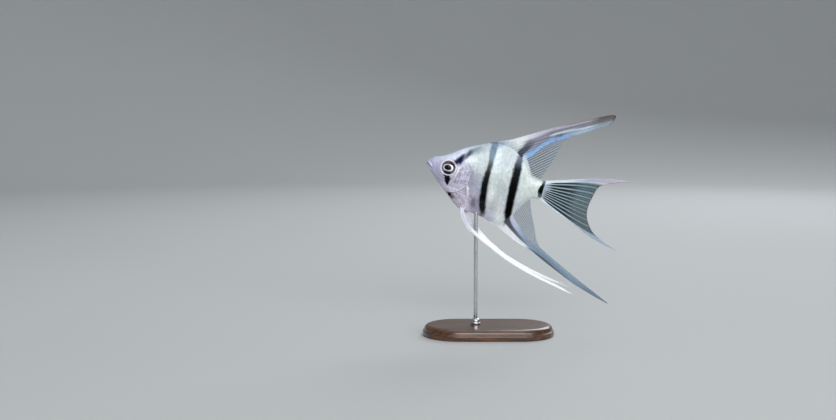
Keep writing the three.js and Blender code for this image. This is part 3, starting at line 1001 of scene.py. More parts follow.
    def wedge(self, x: Array, z: Array) -> Array:
        """How dark the wedge under the eye is: inside two curved sides that run down from the orbit's rim.

        Args:
            x: Places along the fish.
            z: Heights over its axis.

        Returns:
            The wedge's share.
        """
        low = (-4.2 - z) / 6.7
        left, right = 11.9 + 0.5 * low + 2.2 * low**2, 16.25 - 0.2 * low - 0.95 * low**3
        dark = step(-0.3, 0.35, np.minimum(x - left, right - x))
        dark = dark * step(-0.05, 0.02, low) * step(1.03, 0.93, low)
        rim = self.features.from_eye(x, z) - self.features.eye_radius
        return dark * step(0.45, 0.75, rim)


@dataclass(frozen=True)
class Flesh:
    """The flesh's surface with its relief, which skin and scales share."""

    flank: Flank
    features: Features
    height_step: float = 0.02
    x_step: float = 0.15

    def normal(self, x: Array, height: Array) -> Array:
        """The left flank's outward direction: the cross product of its slopes towards keel and tail.

        Args:
            x: Places along the fish.
            height: Heights on the flank.

        Returns:
            Directions of length 1.
        """
        lower, upper = np.maximum(height - self.height_step, -1.0), np.minimum(height + self.height_step, 1.0)
        down = self.flank.point(x, lower) - self.flank.point(x, upper)
        ahead = np.minimum(x + self.x_step, self.flank.body.length)
        behind = np.maximum(x - self.x_step, 0.0)
        out = np.cross(down, self.flank.point(ahead, height) - self.flank.point(behind, height))
        return out / np.maximum(np.linalg.norm(out, axis=-1, keepdims=True), 1e-9)

    def point(self, x: Array, height: Array, over: Array | float = 0.0) -> Array:
        """The left flank's point, raised by the relief and by over along the outward direction.

        Args:
            x: Where along the fish.
            height: Where on the flank, 1 at the ridge and -1 at the keel.
            over: A further rise, in millimetres.

        Returns:
            The points, which stay in the median plane on ridge and keel.
        """
        base = self.flank.point(x, height)
        return self.raised(x, height, self.features.relief(base[..., 0], base[..., 2]) + over)

    def raised(self, x: Array, height: Array, lift: Array) -> Array:
        """The bare flank's point, moved outwards by the lift.

        Args:
            x: Places along the fish.
            height: Heights on the flank.
            lift: How far each point moves.

        Returns:
            The points.
        """
        raised = self.flank.point(x, height) + self.normal(x, height) * lift[..., None]
        raised[..., 1] = np.where(np.abs(height) > 0.9999, 0.0, raised[..., 1])
        return raised


def on_side(points: Array, side: Side) -> Array:
    """Left-side points as they are, or with y turned over for the right side."""
    return points * np.array([1.0, -float(side.value), 1.0])


@dataclass(frozen=True)
class Skin:
    """One skin over head, jaw, gill covers, trunk and tail stem, a coat's depth inside their solids."""

    flesh: Flesh
    markings: Markings
    frame: FishFrame
    depth: float = SKIN_DEPTH
    rows: int = 330
    heights: int = 138
    crowding: float = 1.6

    def surface(self) -> Surface:
        """Rings of points round the body, left side down and right side up, with a point at each end.

        Returns:
            The painted skin.
        """
        length = self.flesh.flank.body.length
        x = length * (np.arange(1, self.rows + 1) / self.rows) ** self.crowding
        height = np.linspace(1.0, -1.0, self.heights + 1)
        grid_x, grid_height = np.meshgrid(x, height, indexing="ij")
        left = self.flesh.point(grid_x, grid_height, -self.depth)
        rings = np.concatenate([left, on_side(left, Side.RIGHT)[:, -2:0:-1]], axis=1)
        tube = Tube(rings, np.array([[self.depth, 0.0, 0.0], [length, 0.0, 0.0]]))
        points = tube.points()
        paint = self.markings.colour(points[:, 0], points[:, 2])
        return tube.surface("skin", self.frame, {"paint": paint}, x / length)

    def make(self, material: Material) -> Piece:
        """The skin, standing for every node of flesh."""
        nodes = ("head", "lower_jaw", "gill_cover_left", "gill_cover_right", "trunk", "tail_stem")
        return self.surface().make(material, "skin", nodes)


@dataclass(frozen=True)
class Scales:
    """Overlapping scales in rows along the body, each a thin round plate with its front edge under the skin.

    A scale is long and wide by its shares of the pitch, differs a little from the next by the strays, and
    follows the relief under it no further than its give.
    """

    flesh: Flesh
    markings: Markings
    frame: FishFrame
    skin_depth: float = SKIN_DEPTH
    pitch_along: Curve = Curve(((8, 0.85), (18, 1.0), (30, 1.28), (45, 1.4), (60, 1.24), (76.5, 0.9)))
    pitch_across: Curve = Curve((
        (8, 0.95), (18, 1.15), (30, 1.5), (45, 1.62), (60, 1.4), (68, 1.1), (76.5, 0.92),
    ))
    first: float = 9.0
    last: float = 75.2
    most_rows: int = 40
    cells: int = 4
    long_share: float = 1.12
    wide_share: float = 0.7
    front_lift: float = -0.09
    rear_lift: float = 0.08
    crown: float = 0.02
    give: float = 0.08
    size_stray: float = 0.05
    turn_stray: float = 0.05
    lift_stray: float = 0.008
    place_stray: float = 0.12
    shade_stray: float = 0.05
    tint_stray: float = 0.02

    def roots(self) -> tuple[Array, Array]:
        """Where the scales sit: columns half a pitch apart, every other one set half a row up.

        Returns:
            Each scale's x, and its row: how many rows it is above the middle one.
        """
        fine = np.linspace(self.first, self.last, 2000)
        count = np.concatenate([[0.0], np.cumsum(np.diff(fine) / (0.5 * self.pitch_along(fine[1:])))])
        columns = np.arange(int(count[-1]) + 1)
        rows = np.arange(-self.most_rows, self.most_rows + 1)
        x = np.repeat(np.interp(columns, count, fine)[:, None], len(rows), axis=1)
        row = rows[None, :] + 0.5 * (columns[:, None] % 2)
        up, down = self.flesh.flank.reach(x)
        arc, margin = row * self.pitch_across(x), 0.25 * self.pitch_across(x)
        kept = (arc < up - margin) & (arc > margin - down)
        x, row = x[kept], row[kept]
        place = self.flesh.flank.point(x, self.height(x, row * self.pitch_across(x)))
        kept = self.scaled(place[:, 0], place[:, 2])
        return x[kept], row[kept]

    def height(self, x: Array, arc: Array) -> Array:
        """The flank's height at a distance over its surface from the middle row."""
        up, down = self.flesh.flank.reach(x)
        return np.clip(np.where(arc > 0.0, arc / up, arc / down), -0.9995, 0.9995)

    def scaled(self, x: Array, z: Array) -> Array:
        """Whether a place bears scales: not snout, orbit, cover's edge, cheekbone, throat gap or fin's root.

        Args:
            x: Places along the fish.
            z: Heights over its axis.

        Returns:
            True where scales grow.
        """
        features = self.flesh.features
        out, there = features.from_cover(x, z)
        gap_x, gap_z = features.throat_gap
        bare = (there > 0.3) & (out > -1.3) & (out < 0.6)
        bare |= np.hypot((x - gap_x) / 1.9, (z - gap_z) / 1.4) < 1.0
        bare |= features.from_fin_root(x, z, 1.5, 3.4) < 1.0
        bare |= distance_to_line(features.cheekbone, x, z) < 0.7
        bare |= x + 0.35 * np.abs(z + 1.0) < 10.5
        bare |= features.from_eye(x, z) < 6.3
        return ~bare

    def template(self) -> tuple[Array, Array, Array, Array]:
        """One scale: a square of cells drawn out to a disc, as a top and a bottom that share their rim.

        Returns:
            Its points' places along and across, from -1 to 1, whether each is on top, and its faces.
        """
        line = np.linspace(-1.0, 1.0, self.cells + 1)
        a, b = np.meshgrid(line, line, indexing="ij")
        along, across = a * np.sqrt(1.0 - b * b / 2.0), b * np.sqrt(1.0 - a * a / 2.0)
        inner = inside_rim(a.shape)
        top = np.arange(a.size).reshape(a.shape)
        bottom = top.copy()
        bottom[inner] = a.size + np.arange(inner.sum())
        faces = np.concatenate([grid_quads(top), grid_quads(bottom)[:, ::-1]])
        on_top = np.concatenate([np.ones(a.size), np.zeros(inner.sum())])
        along, across = (np.concatenate([place.ravel(), place[inner]]) for place in (along, across))
        return along, across, on_top, faces

    def surface(self, side: Side, seed: int) -> Surface:
        """All scales of one side, each laid on the flank by its own distances along and across.

        Args:
            side: Which flank.
            seed: Sets the slight differences from scale to scale.

        Returns:
            The joined scales, their colours, and each one's patch on the unrolled body.
        """
        x, row = self.roots()
        along, across, on_top, faces = self.template()
        chance = np.random.default_rng(seed)
        least, most = 1.0 - self.size_stray, 1.0 + self.size_stray
        long_half = self.long_share * self.pitch_along(x) * chance.uniform(least, most, len(x))
        wide_half = self.wide_share * self.pitch_across(x) * chance.uniform(least, most, len(x))
        turn = chance.normal(0.0, self.turn_stray, len(x))[:, None]
        run = long_half[:, None] * (along + 0.1)
        aside = wide_half[:, None] * across
        at_x = np.clip(x[:, None] + run + turn * aside, 0.5, self.flesh.flank.body.length - 0.2)
        arc = row[:, None] * self.pitch_across(at_x) + aside - turn * run
        rise = self.front_lift + (self.rear_lift - self.front_lift) * (along + 1.0) / 2.0
        crown = self.crown * (1.0 - along**2 - across**2) * (on_top - 0.5)
        lift = (rise + crown)[None, :] + chance.normal(0.0, self.lift_stray, len(x))[:, None]
        at_height = self.height(at_x, arc)
        quads = (faces[None] + len(along) * np.arange(len(x))[:, None, None]).reshape(-1, 4)
        root_height = self.height(x, row * self.pitch_across(x))
        root = self.flesh.flank.point(x, root_height)
        lift += self.bend(root, self.flesh.flank.point(at_x, at_height)) - self.skin_depth
        left = self.flesh.raised(at_x, at_height, lift)
        return Surface(
            f"scales_{side.word}", self.frame.to_world(on_side(left, side).reshape(-1, 3)), quads,
            colours={"paint": self.painted(root, chance, along)},
            quad_map=self.bake_map(side, x, root_height, along, across, faces),
            crease=60.0,
        )

    def bend(self, root: Array, point: Array) -> Array:
        """The relief under each scale's points, kept within its give of the relief at its root."""
        under, middle = (self.flesh.features.relief(p[..., 0], p[..., 2]) for p in (point, root[:, None]))
        return middle + np.clip(under - middle, -self.give, self.give)

    def painted(self, root: Array, chance: np.random.Generator, along: Array) -> Array:
        """One colour a scale, from the markings at its root, a little lighter at its rear edge.

        Args:
            root: Where the scales sit.
            chance: The strays.
            along: A scale's points.

        Returns:
            A colour for every point.
        """
        count = len(root)
        stray = chance.normal(0.0, self.place_stray, (count, 2))
        base = self.markings.colour(root[:, 0] + stray[:, 0], root[:, 2] + stray[:, 1])
        gain = 1.0 + chance.normal(0.0, self.shade_stray, (count, 1))
        gain = gain + chance.normal(0.0, self.tint_stray, (count, 3))
        rim = 1.0 + 0.06 * step(0.3, 0.95, along) - 0.05 * step(0.2, -0.2, along)
        return np.clip((base * gain)[:, None, :] * rim[None, :, None], 0.0, 0.98).reshape(-1, 3)

    def bake_map(
        self, side: Side, x: Array, height: Array, along: Array, across: Array, faces: Array
    ) -> Array:
        """A small patch for each scale, at its root's place on the body unrolled along its length.

        Args:
            side: Which flank.
            x: Places along the fish.
            height: Heights on the flank.
            along: A scale's points, lengthwise.
            across: The same points, across.
            faces: Its faces.

        Returns:
            The map at each face's corners.
        """
        share = (1.0 - height) / 4.0
        around = share if side is Side.LEFT else 1.0 - share
        centre = bake_spot(x / self.flesh.flank.body.length, around)
        patch = SCALE_PATCH / 2.0 * np.stack([along, across], axis=-1)
        return (centre[:, None, :] + patch[None])[:, faces].reshape(-1, 4, 2)

    def make(self, side: Side, seed: int, material: Material) -> Piece:
        """The scales of one side as a piece."""
        return self.surface(side, seed).make(material, "skin")


# ---- Eyes ----


@dataclass(frozen=True)
class Eye:
    """A bright eye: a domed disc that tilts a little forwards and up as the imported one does.

    Its points are counted by their own radius and bearing on the disc, tailwards and up from its middle.
    """

    side: Side
    frame: FishFrame
    x: float = 14.1
    y: float = 3.3
    z: float = 0.05
    radius: float = 4.3
    depth: float = 2.5
    back: float = 1.2
    forward: float = 0.19
    up: float = 0.1
    rings: int = 120
    around: int = 180
    swelling: float = 0.1
    pupil_x: float = 0.05
    pupil_z: float = -0.16
    pupil_long: float = 2.32
    pupil_high: float = 1.64
    pupil_shape: float = 2.2
    shaded: tuple[tuple[Tone, float, Pair, Pair], ...] = (
        (Tone.IRIS_GREY, 0.85, (25, 60), (185, 168)),
        (Tone.MAROON, 0.95, (2, 20), (98, 70)),
    )
    below: tuple[Pair, Pair] = ((-128, -116), (-40, -52))

    def surface(self) -> Surface:
        """Rings from the middle of the dome over its edge to the middle of its back.

        Out to the edge, the radius is its full size times the sine of a share of the right angle, and the
        height is the dome's depth times the cosine to the power 0.8, with a swelling over the pupil.

        Returns:
            The painted eye.
        """
        turn = np.linspace(0.0, np.pi, self.rings + 2)[1:-1]
        bearing = np.linspace(0.0, 2.0 * np.pi, self.around, endpoint=False)
        turn, bearing = np.meshgrid(turn, bearing, indexing="ij")
        radius, tall = self.radius * np.sin(turn), np.cos(turn)
        height = np.where(tall > 0.0, self.depth * np.abs(tall) ** 0.8, -self.back * np.abs(tall))
        behind, over = radius * np.cos(bearing), radius * np.sin(bearing)
        pupil = self.from_pupil(behind, over)
        swelling = self.swelling * (step(1.2, 0.9, pupil) - 0.5 * hill(pupil - 1.3, 0.16))
        height = height + np.where(tall > 0.0, swelling, 0.0)
        rings = np.stack([behind, -height, over], axis=-1)
        ends = np.array([[0.0, -self.depth - self.swelling, 0.0], [0.0, self.back, 0.0]])
        tube = Tube(self.placed(rings), self.placed(ends))
        disc = np.concatenate([rings.reshape(-1, 3), ends])
        share = np.arange(1, self.rings + 1) / (self.rings + 1)
        return tube.surface(f"eye_{self.side.word}", self.frame, self.painted(disc), share)

    def placed(self, points: Array) -> Array:
        """Tilts the left eye up and forwards, moves it into its socket, and turns it over for the right.

        Args:
            points: Points on the flat disc's own axes.

        Returns:
            The points in the fish's frame.
        """
        x, y, z = np.moveaxis(points, -1, 0)
        level, rise = np.cos(self.up), np.sin(self.up)
        y, z = y * level + z * rise, z * level - y * rise
        level, rise = np.cos(self.forward), np.sin(self.forward)
        x, y = x * level + y * rise, y * level - x * rise
        return on_side(np.stack([self.x + x, y - self.y, self.z + z], axis=-1), self.side)

    def from_pupil(self, behind: Array, over: Array) -> Array:
        """Distance from the pupil's middle, 1 on its edge, which is longer than high and squarish.

        Args:
            behind: Places behind the disc's middle.
            over: Places above it.

        Returns:
            The distances.
        """
        along = np.abs(behind - self.pupil_x) / self.pupil_long
        above = np.abs(over - self.pupil_z) / self.pupil_high
        return (along**self.pupil_shape + above**self.pupil_shape) ** (1.0 / self.pupil_shape)

    def painted(self, disc: Array) -> dict[str, Array]:
        """Pupil, silver ring, and a darker outer ring: grey above, maroon above and behind, black below.

        Args:
            disc: Points on the disc's own axes.

        Returns:
            The colours, and how silvery each point is.
        """
        behind, over = disc[:, 0], disc[:, 2]
        radius, bearing = np.hypot(behind, over), np.degrees(np.arctan2(over, behind))
        pupil = self.from_pupil(behind, over)
        rgb = np.broadcast_to(Tone.IRIS.rgb, (len(disc), 3))
        for colour, strength, start, stop in self.shaded:
            rgb = mix(rgb, colour, strength * step(*start, bearing) * step(*stop, bearing))
        rgb = mix(rgb, Tone.IRIS_PLUM, 0.8 * oval(behind, over, (-1.7, 2.35), (1.3, 0.75)))
        below = step(*self.below[0], bearing) * step(*self.below[1], bearing)
        rgb = mix(rgb, Tone.SOOT, below * step(2.5, 2.7, radius))
        bright = step(1.43, 1.27, pupil - 0.04 * np.cos(np.radians(bearing)))
        bright = bright * (1.0 - 0.6 * hill(bearing - 95, 40) - 0.5 * hill(bearing + 95, 35))
        rgb = mix(rgb, Tone.SILVER, bright)
        spokes = 0.05 * np.sin(np.radians(31.0 * bearing))
        spokes += 0.04 * np.sin(np.radians(53.0 * bearing) + 4.0 * radius)
        rgb = np.clip(rgb * (1.0 + spokes * step(1.1, 1.4, pupil))[:, None], 0.0, 0.95)
        rgb = mix(rgb, Tone.IRIS_RIM, 0.8 * hill(radius - 4.1, 0.16))
        dark = step(1.04, 0.93, pupil)
        gloss = mix(np.zeros_like(rgb), np.ones(3), bright * (1.0 - dark))
        return {"paint": mix(rgb, Tone.PUPIL, dark), "gloss": gloss}

    def make(self, material: Material) -> Piece:
        """The eye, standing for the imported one."""
        surface = self.surface()
        return surface.make(material, "eye", [surface.name])


# ---- Fins ----


@dataclass(frozen=True)
class FinSheet:
    """A fin of rays: each runs from the root line to the tip line, arched, and leans out of the median plane.

    The fin is a closed plate whose two faces share their rim. Its half thickness tapers from root to tip with
    a ridge along each ray, and its outer edge is drawn in a little between the rays.
    """

    root: Path
    tip: Path
    rays: Curve
    arch: Callable[[Array], Array]
    lean: Callable[[Array, Array], Array]
    thick: Pair = (0.40, 0.12)
    ridge: float = 0.05
    notch: float = 0.6
    branches: float = 0.78
    longest: float = 0.48
    hem: Curve = Curve(((0, 0), (1, 0)))
    across: int = 420
    along: int = 80

    def middle(self, u: Array, v: Array) -> Array:
        """The fin's middle surface: the straight ray, lifted by 6.75 v² (1 - v) of its arch to one side.

        Args:
            u: Shares across the fin.
            v: Shares along its rays.

        Returns:
            The points.
        """
        root_x, root_z = self.root(u)
        tip_x, tip_z = self.tip(u)
        span_x, span_z = tip_x - root_x, tip_z - root_z
        length = np.hypot(span_x, span_z)
        notch = np.minimum(self.notch * (1.0 - self.ray(u, v)) / length, 0.1)
        share = v * (1.0 - notch * step(0.7, 1.0, v))
        lift = 6.75 * share**2 * (1.0 - share) * self.arch(u)
        x = root_x + span_x * share - span_z * lift
        z = root_z + span_z * share + span_x * lift
        return np.stack([x, self.lean(u, share * length), z], axis=-1)

    def band(self, place: Array) -> Array:
        """Where a place lies between the fin's front edge, 0, and the hem of its coloured part, 1."""
        front = np.interp(place[..., 0], *self.tip(np.linspace(0.0, self.longest, 60)))
        return np.clip((front - place[..., 2]) / (front - self.hem(place[..., 0])), 0.0, 2.0)

    def branching(self, v: Array) -> Array:
        """How strong the finer ray between two rays is, which shows only in the fin's outer half."""
        return self.branches * step(0.4, 0.75, v)

    def ray(self, u: Array, v: Array) -> Array:
        """How much of a ray there is: 1 on its middle line, 0 half way to the next but for a finer one."""
        whole = 0.5 + 0.5 * np.cos(2.0 * np.pi * self.rays(u))
        return np.maximum(whole, (1.0 - whole) * self.branching(v))

    def half(self, u: Array, v: Array) -> Array:
        """Half the fin's thickness, drawn in to nothing at its rim.

        Args:
            u: Shares across the fin.
            v: Shares along its rays.

        Returns:
            The half thickness.
        """
        taper = self.thick[0] + (self.thick[1] - self.thick[0]) * step(0.0, 0.75, v)
        rim = np.sqrt(np.clip(np.minimum(np.minimum(u, 1.0 - u) * 60.0, (1.0 - v) * 25.0), 0.0, 1.0))
        return (taper + self.ridge * (self.ray(u, v) - 0.4)) * rim


@dataclass(frozen=True)
class FinGrid:
    """A fin's points in the fish's frame, with their shares across its sheet and along its rays."""

    sheet: FinSheet
    u: Array
    v: Array
    place: Array

    def band(self) -> Array:
        """Shares of the way from front edge to hem, a little uneven along the rays."""
        return self.sheet.band(self.place) + 0.015 * np.sin(16.0 * self.v)


@dataclass(frozen=True)
class FinLook:
    """A fin's colours and how much light it stops, on the web between the rays and on the rays."""

    web: Array
    ray: Array
    web_veil: Array
    ray_veil: Array


@dataclass(frozen=True)
class Fin:
    """A fin: its name, its sheet and its look."""

    name: str
    sheet: FinSheet
    look: Callable[[FinGrid], FinLook]

    def surface(self, frame: FishFrame) -> Surface:
        """The plate's left and right faces as two grids that share their rim.

        Args:
            frame: Where the fish is held.

        Returns:
            The closed fin with its looks, and the count of rays, branching and reach that its finish reads.
        """
        sheet = self.sheet
        shares = (np.linspace(0.0, 1.0, count + 1) for count in (sheet.across, sheet.along))
        u, v = np.meshgrid(*shares, indexing="ij")
        middle = sheet.middle(u, v)
        inner = inside_rim(u.shape)
        left = np.arange(u.size).reshape(u.shape)
        right = left.copy()
        right[inner] = u.size + np.arange(inner.sum())
        offset = np.stack([np.zeros_like(u), sheet.half(u, v), np.zeros_like(u)], axis=-1) * inner[..., None]
        look = self.look(FinGrid(sheet, u, v, middle))
        colours = {"paint": look.web, "ray_paint": look.ray}
        numbers = {
            "veil": one_face(look.web_veil), "ray_veil": one_face(look.ray_veil), "phase": sheet.rays(u),
            "branching": sheet.branching(v), "reach": np.linalg.norm(middle - middle[:, :1], axis=-1),
        }
        low = np.stack([0.01 + 0.98 * v, 0.01 + 0.47 * u], axis=-1)
        high = low + np.array([0.0, 0.5])
        return Surface(
            self.name, frame.to_world(two_faces(middle - offset, middle + offset, inner)),
            np.concatenate([grid_quads(left), grid_quads(right)[:, ::-1]]),
            colours={name: two_faces(value, value, inner) for name, value in colours.items()},
            numbers={name: two_faces(value, value, inner) for name, value in numbers.items()},
            quad_map=np.concatenate([grid_corners(low), grid_corners(high)[:, ::-1]]),
        )

    def make(self, frame: FishFrame, material: Material) -> Piece:
        """The fin as a piece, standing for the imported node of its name."""
        return self.surface(frame).make(material, "fin", [self.name])


def one_face(veil: Array) -> Array:
    """How much light each of two faces stops, so that both together stop as much as the veil."""
    return 1.0 - np.sqrt(1.0 - np.clip(veil, 0.0, 0.999))


def two_faces(left: Array, right: Array, inner: Array) -> Array:
    """All of a grid's left values, then its right values inside the shared rim."""
    return np.concatenate([left.reshape(inner.size, *left.shape[2:]), right[inner]])


@dataclass(frozen=True)
class FinColours:
    """The fins' colours, which grow out of the body's markings at their roots."""

    markings: Markings

    def past_body(self, place: Array) -> Array:
        """How far a place lies above the back line or below the belly line."""
        body, x, z = self.markings.body, place[..., 0], place[..., 2]
        return np.where(x > body.length, 99.0, np.maximum(z - body.back(x), body.belly(x) - z))

    def grown(self, rgb: Array, place: Array, fade: float) -> Array:
        """Blends a fin's colour out of the body's over a few millimetres, and carries the bars on into it.

        Args:
            rgb: The colours so far.
            place: Points in the fish's frame.
            fade: How far the blend reaches.

        Returns:
            The blended colours.
        """
        x, z = place[..., 0], place[..., 2]
        markings = self.markings
        inside = np.clip(z, markings.body.belly(x) + 0.5, markings.body.back(x) - 0.3)
        rgb = mix(markings.colour(x, inside), rgb, step(-0.5, fade, self.past_body(place)))
        rgb = mix(rgb, Tone.BAR_IN_FIN, markings.third_bar(x, z))
        return mix(rgb, Tone.STEEL_BLUE, 0.6 * markings.second_bar(x, z))

    def trailing(self, rgb: Array, band: Array, place: Array) -> FinLook:
        """Gives a fin its smoky, half clear web with paler rays, behind its coloured part and fleshy foot.

        Args:
            rgb: The colours so far.
            band: Shares from front edge to hem.
            place: Points in the fish's frame.

        Returns:
            The fin's look.
        """
        x, z = place[..., 0], place[..., 2]
        fleshy = 2.6 * step(55, 57.5, x) * step(67, 61, x) * (z > 0.0)
        web = step(0.97, 1.05, band) * step(0.0, 1.5, self.past_body(place) - fleshy)
        smoky = mix(0.82 * rgb, Tone.NIGHT, web)
        drawn = mix(np.minimum(1.22 * rgb, 0.95), Tone.FROST, web)
        return FinLook(smoky, drawn, 0.97 - 0.5 * web, 0.98 - 0.13 * web)

    def dorsal(self, fin: FinGrid) -> FinLook:
        """White at its foot, then lilac, smoke, slate, milk and sky blue from the front edge to the hem.

        The bands follow the fin out, darken on the way, and end in its brown point.

        Args:
            fin: The fin's points.

        Returns:
            The fin's look.
        """
        x, band = fin.place[..., 0], fin.band()
        rgb = mix(Tone.HEATHER, Tone.LILAC, step(57, 65, x))
        rgb = mix(rgb, Tone.SMOKE, step(0.12, 0.28, band))
        rgb = rgb * (1.0 - 0.24 * step(66, 74, x) - 0.14 * step(82, 92, x))[..., None]
        rgb = mix(rgb, Tone.SLATE, step(0.48, 0.62, band))
        dusk = hill(band - 0.66 + 0.26 * step(69, 76, x), 0.07) * step(63, 67, x)
        rgb = mix(rgb, Tone.DUSK, 0.8 * dusk)
        rgb = mix(rgb, Tone.MILK, hill(band - 0.5 - 0.006 * (x - 77), 0.085) * step(70, 75, x))
        rgb = mix(rgb, Tone.PALE, 0.8 * step(0.68, 0.76, band) * step(82, 90, x))
        sky = Tone.SKY.rgb * (1.0 - 0.12 * step(71, 76, x))[..., None]
        rgb = mix(rgb, sky, step(0.68, 0.84, band) * step(88, 82, x))
        rgb = mix(rgb, Tone.RUST, 0.8 * step(72, 86, x) * step(0.17, 0.05, band))
        point = mix(Tone.POINT_BROWN, Tone.POINT_GREY, step(0.25, 0.8, band))
        rgb = mix(rgb, point, step(94, 102, x))
        streak = np.hypot((x - 78.0) / 2.6, fin.place[..., 2] - 36.0 - 0.5 * (x - 77.5))
        rgb = mix(rgb, Tone.STREAK, 0.75 * hill(streak, 1.1))
        rgb = mix(rgb, Tone.FIN_WHITE, step(60, 54, x))
        return self.trailing(self.grown(rgb, fin.place, 6.0), band, fin.place)

    def anal(self, fin: FinGrid) -> FinLook:
        """White along the front edge, dusk and lilac inside it, then slate blue out to the long point.

        Args:
            fin: The fin's points.

        Returns:
            The fin's look.
        """
        x, band = fin.place[..., 0], fin.band()
        rgb = mix(Tone.WISTERIA, Tone.DENIM, step(61, 74, x))
        rgb = mix(rgb, Tone.PEWTER, step(0.62, 0.52, band) * step(80, 72, x))
        rgb = mix(rgb, Tone.SNOW, step(0.38, 0.30, band) * step(79, 71, x))
        beyond = mix(Tone.HARBOUR, Tone.DRIFT, step(0.1, 0.5, band) * step(120, 106, x))
        rgb = mix(rgb, beyond, step(76, 82, x))
        rgb = rgb * (1.0 - 0.45 * step(0.45, 0.2, band) * hill(x - 90.0, 12.0))[..., None]
        return self.trailing(self.grown(rgb, fin.place, 5.0), band, fin.place)

    def tail(self, fin: FinGrid) -> FinLook:
        """White-blue outer rays, the upper one pink at its end, and pale rays on near-black webs between.

        Args:
            fin: The fin's points.

        Returns:
            The fin's look.
        """
        u, v, x = fin.u, fin.v, fin.place[..., 0]
        wide = 0.1 * step(0.25, 0.02, v)
        outer = np.maximum(step(0.125, 0.085, u - wide), step(0.1, 0.06, 1.0 - u - wide))
        web = mix(Tone.DEEP_BLUE, Tone.DEEP_GREEN, step(0.6, 0.95, v))
        ray = mix(Tone.RAY_PALE, Tone.RAY_MIST, step(0.08, 0.35, v))
        ray = mix(ray, Tone.RAY_TEAL, step(0.4, 0.9, v))
        ray = mix(ray, Tone.RAY_AQUA, 0.8 * oval(u, v, (0.3, 0.78), (0.2, 0.14)))
        upper = (u < 0.45) * 1.0
        root = 1.0 - step(0.04 + 0.05 * upper, 0.16 + 0.08 * upper, v)
        tip = outer * step(0.6, 0.95, v) * (u < 0.5)
        filament = mix(Tone.FILAMENT, Tone.FILAMENT_DUSK, step(0.3, 0.75, v))
        body = self.markings.colour(x, fin.place[..., 2])
        bright, looks = np.minimum(1.4 * filament, 0.9), []
        for colour, edge, end in ((web, filament, Tone.TIP_PINK), (ray, bright, Tone.TIP_BLUSH)):
            colour = mix(mix(mix(colour, Tone.ICE, 0.8 * root), edge, outer), end, 0.6 * tip)
            looks.append(mix(body, colour, step(75.9, 76.9, x)))
        clear = (1.0 - outer) * step(0.35, 1.0, v)
        return FinLook(*looks, 0.99 - 0.12 * clear, 0.99 - 0.08 * clear)

    def breast(self, fin: FinGrid) -> FinLook:
        """Nearly clear, with pale rays that fade outwards.

        Args:
            fin: The fin's points.

        Returns:
            The fin's look.
        """
        root, near = step(0.2, 0.0, fin.v), step(0.6, 0.3, fin.v)
        web, ray = (np.broadcast_to(colour.rgb, fin.place.shape) for colour in (Tone.GLASS, Tone.GLASS_RAY))
        return FinLook(web, ray, 0.004 + 0.6 * root, 0.02 + 0.07 * near + 0.6 * root)


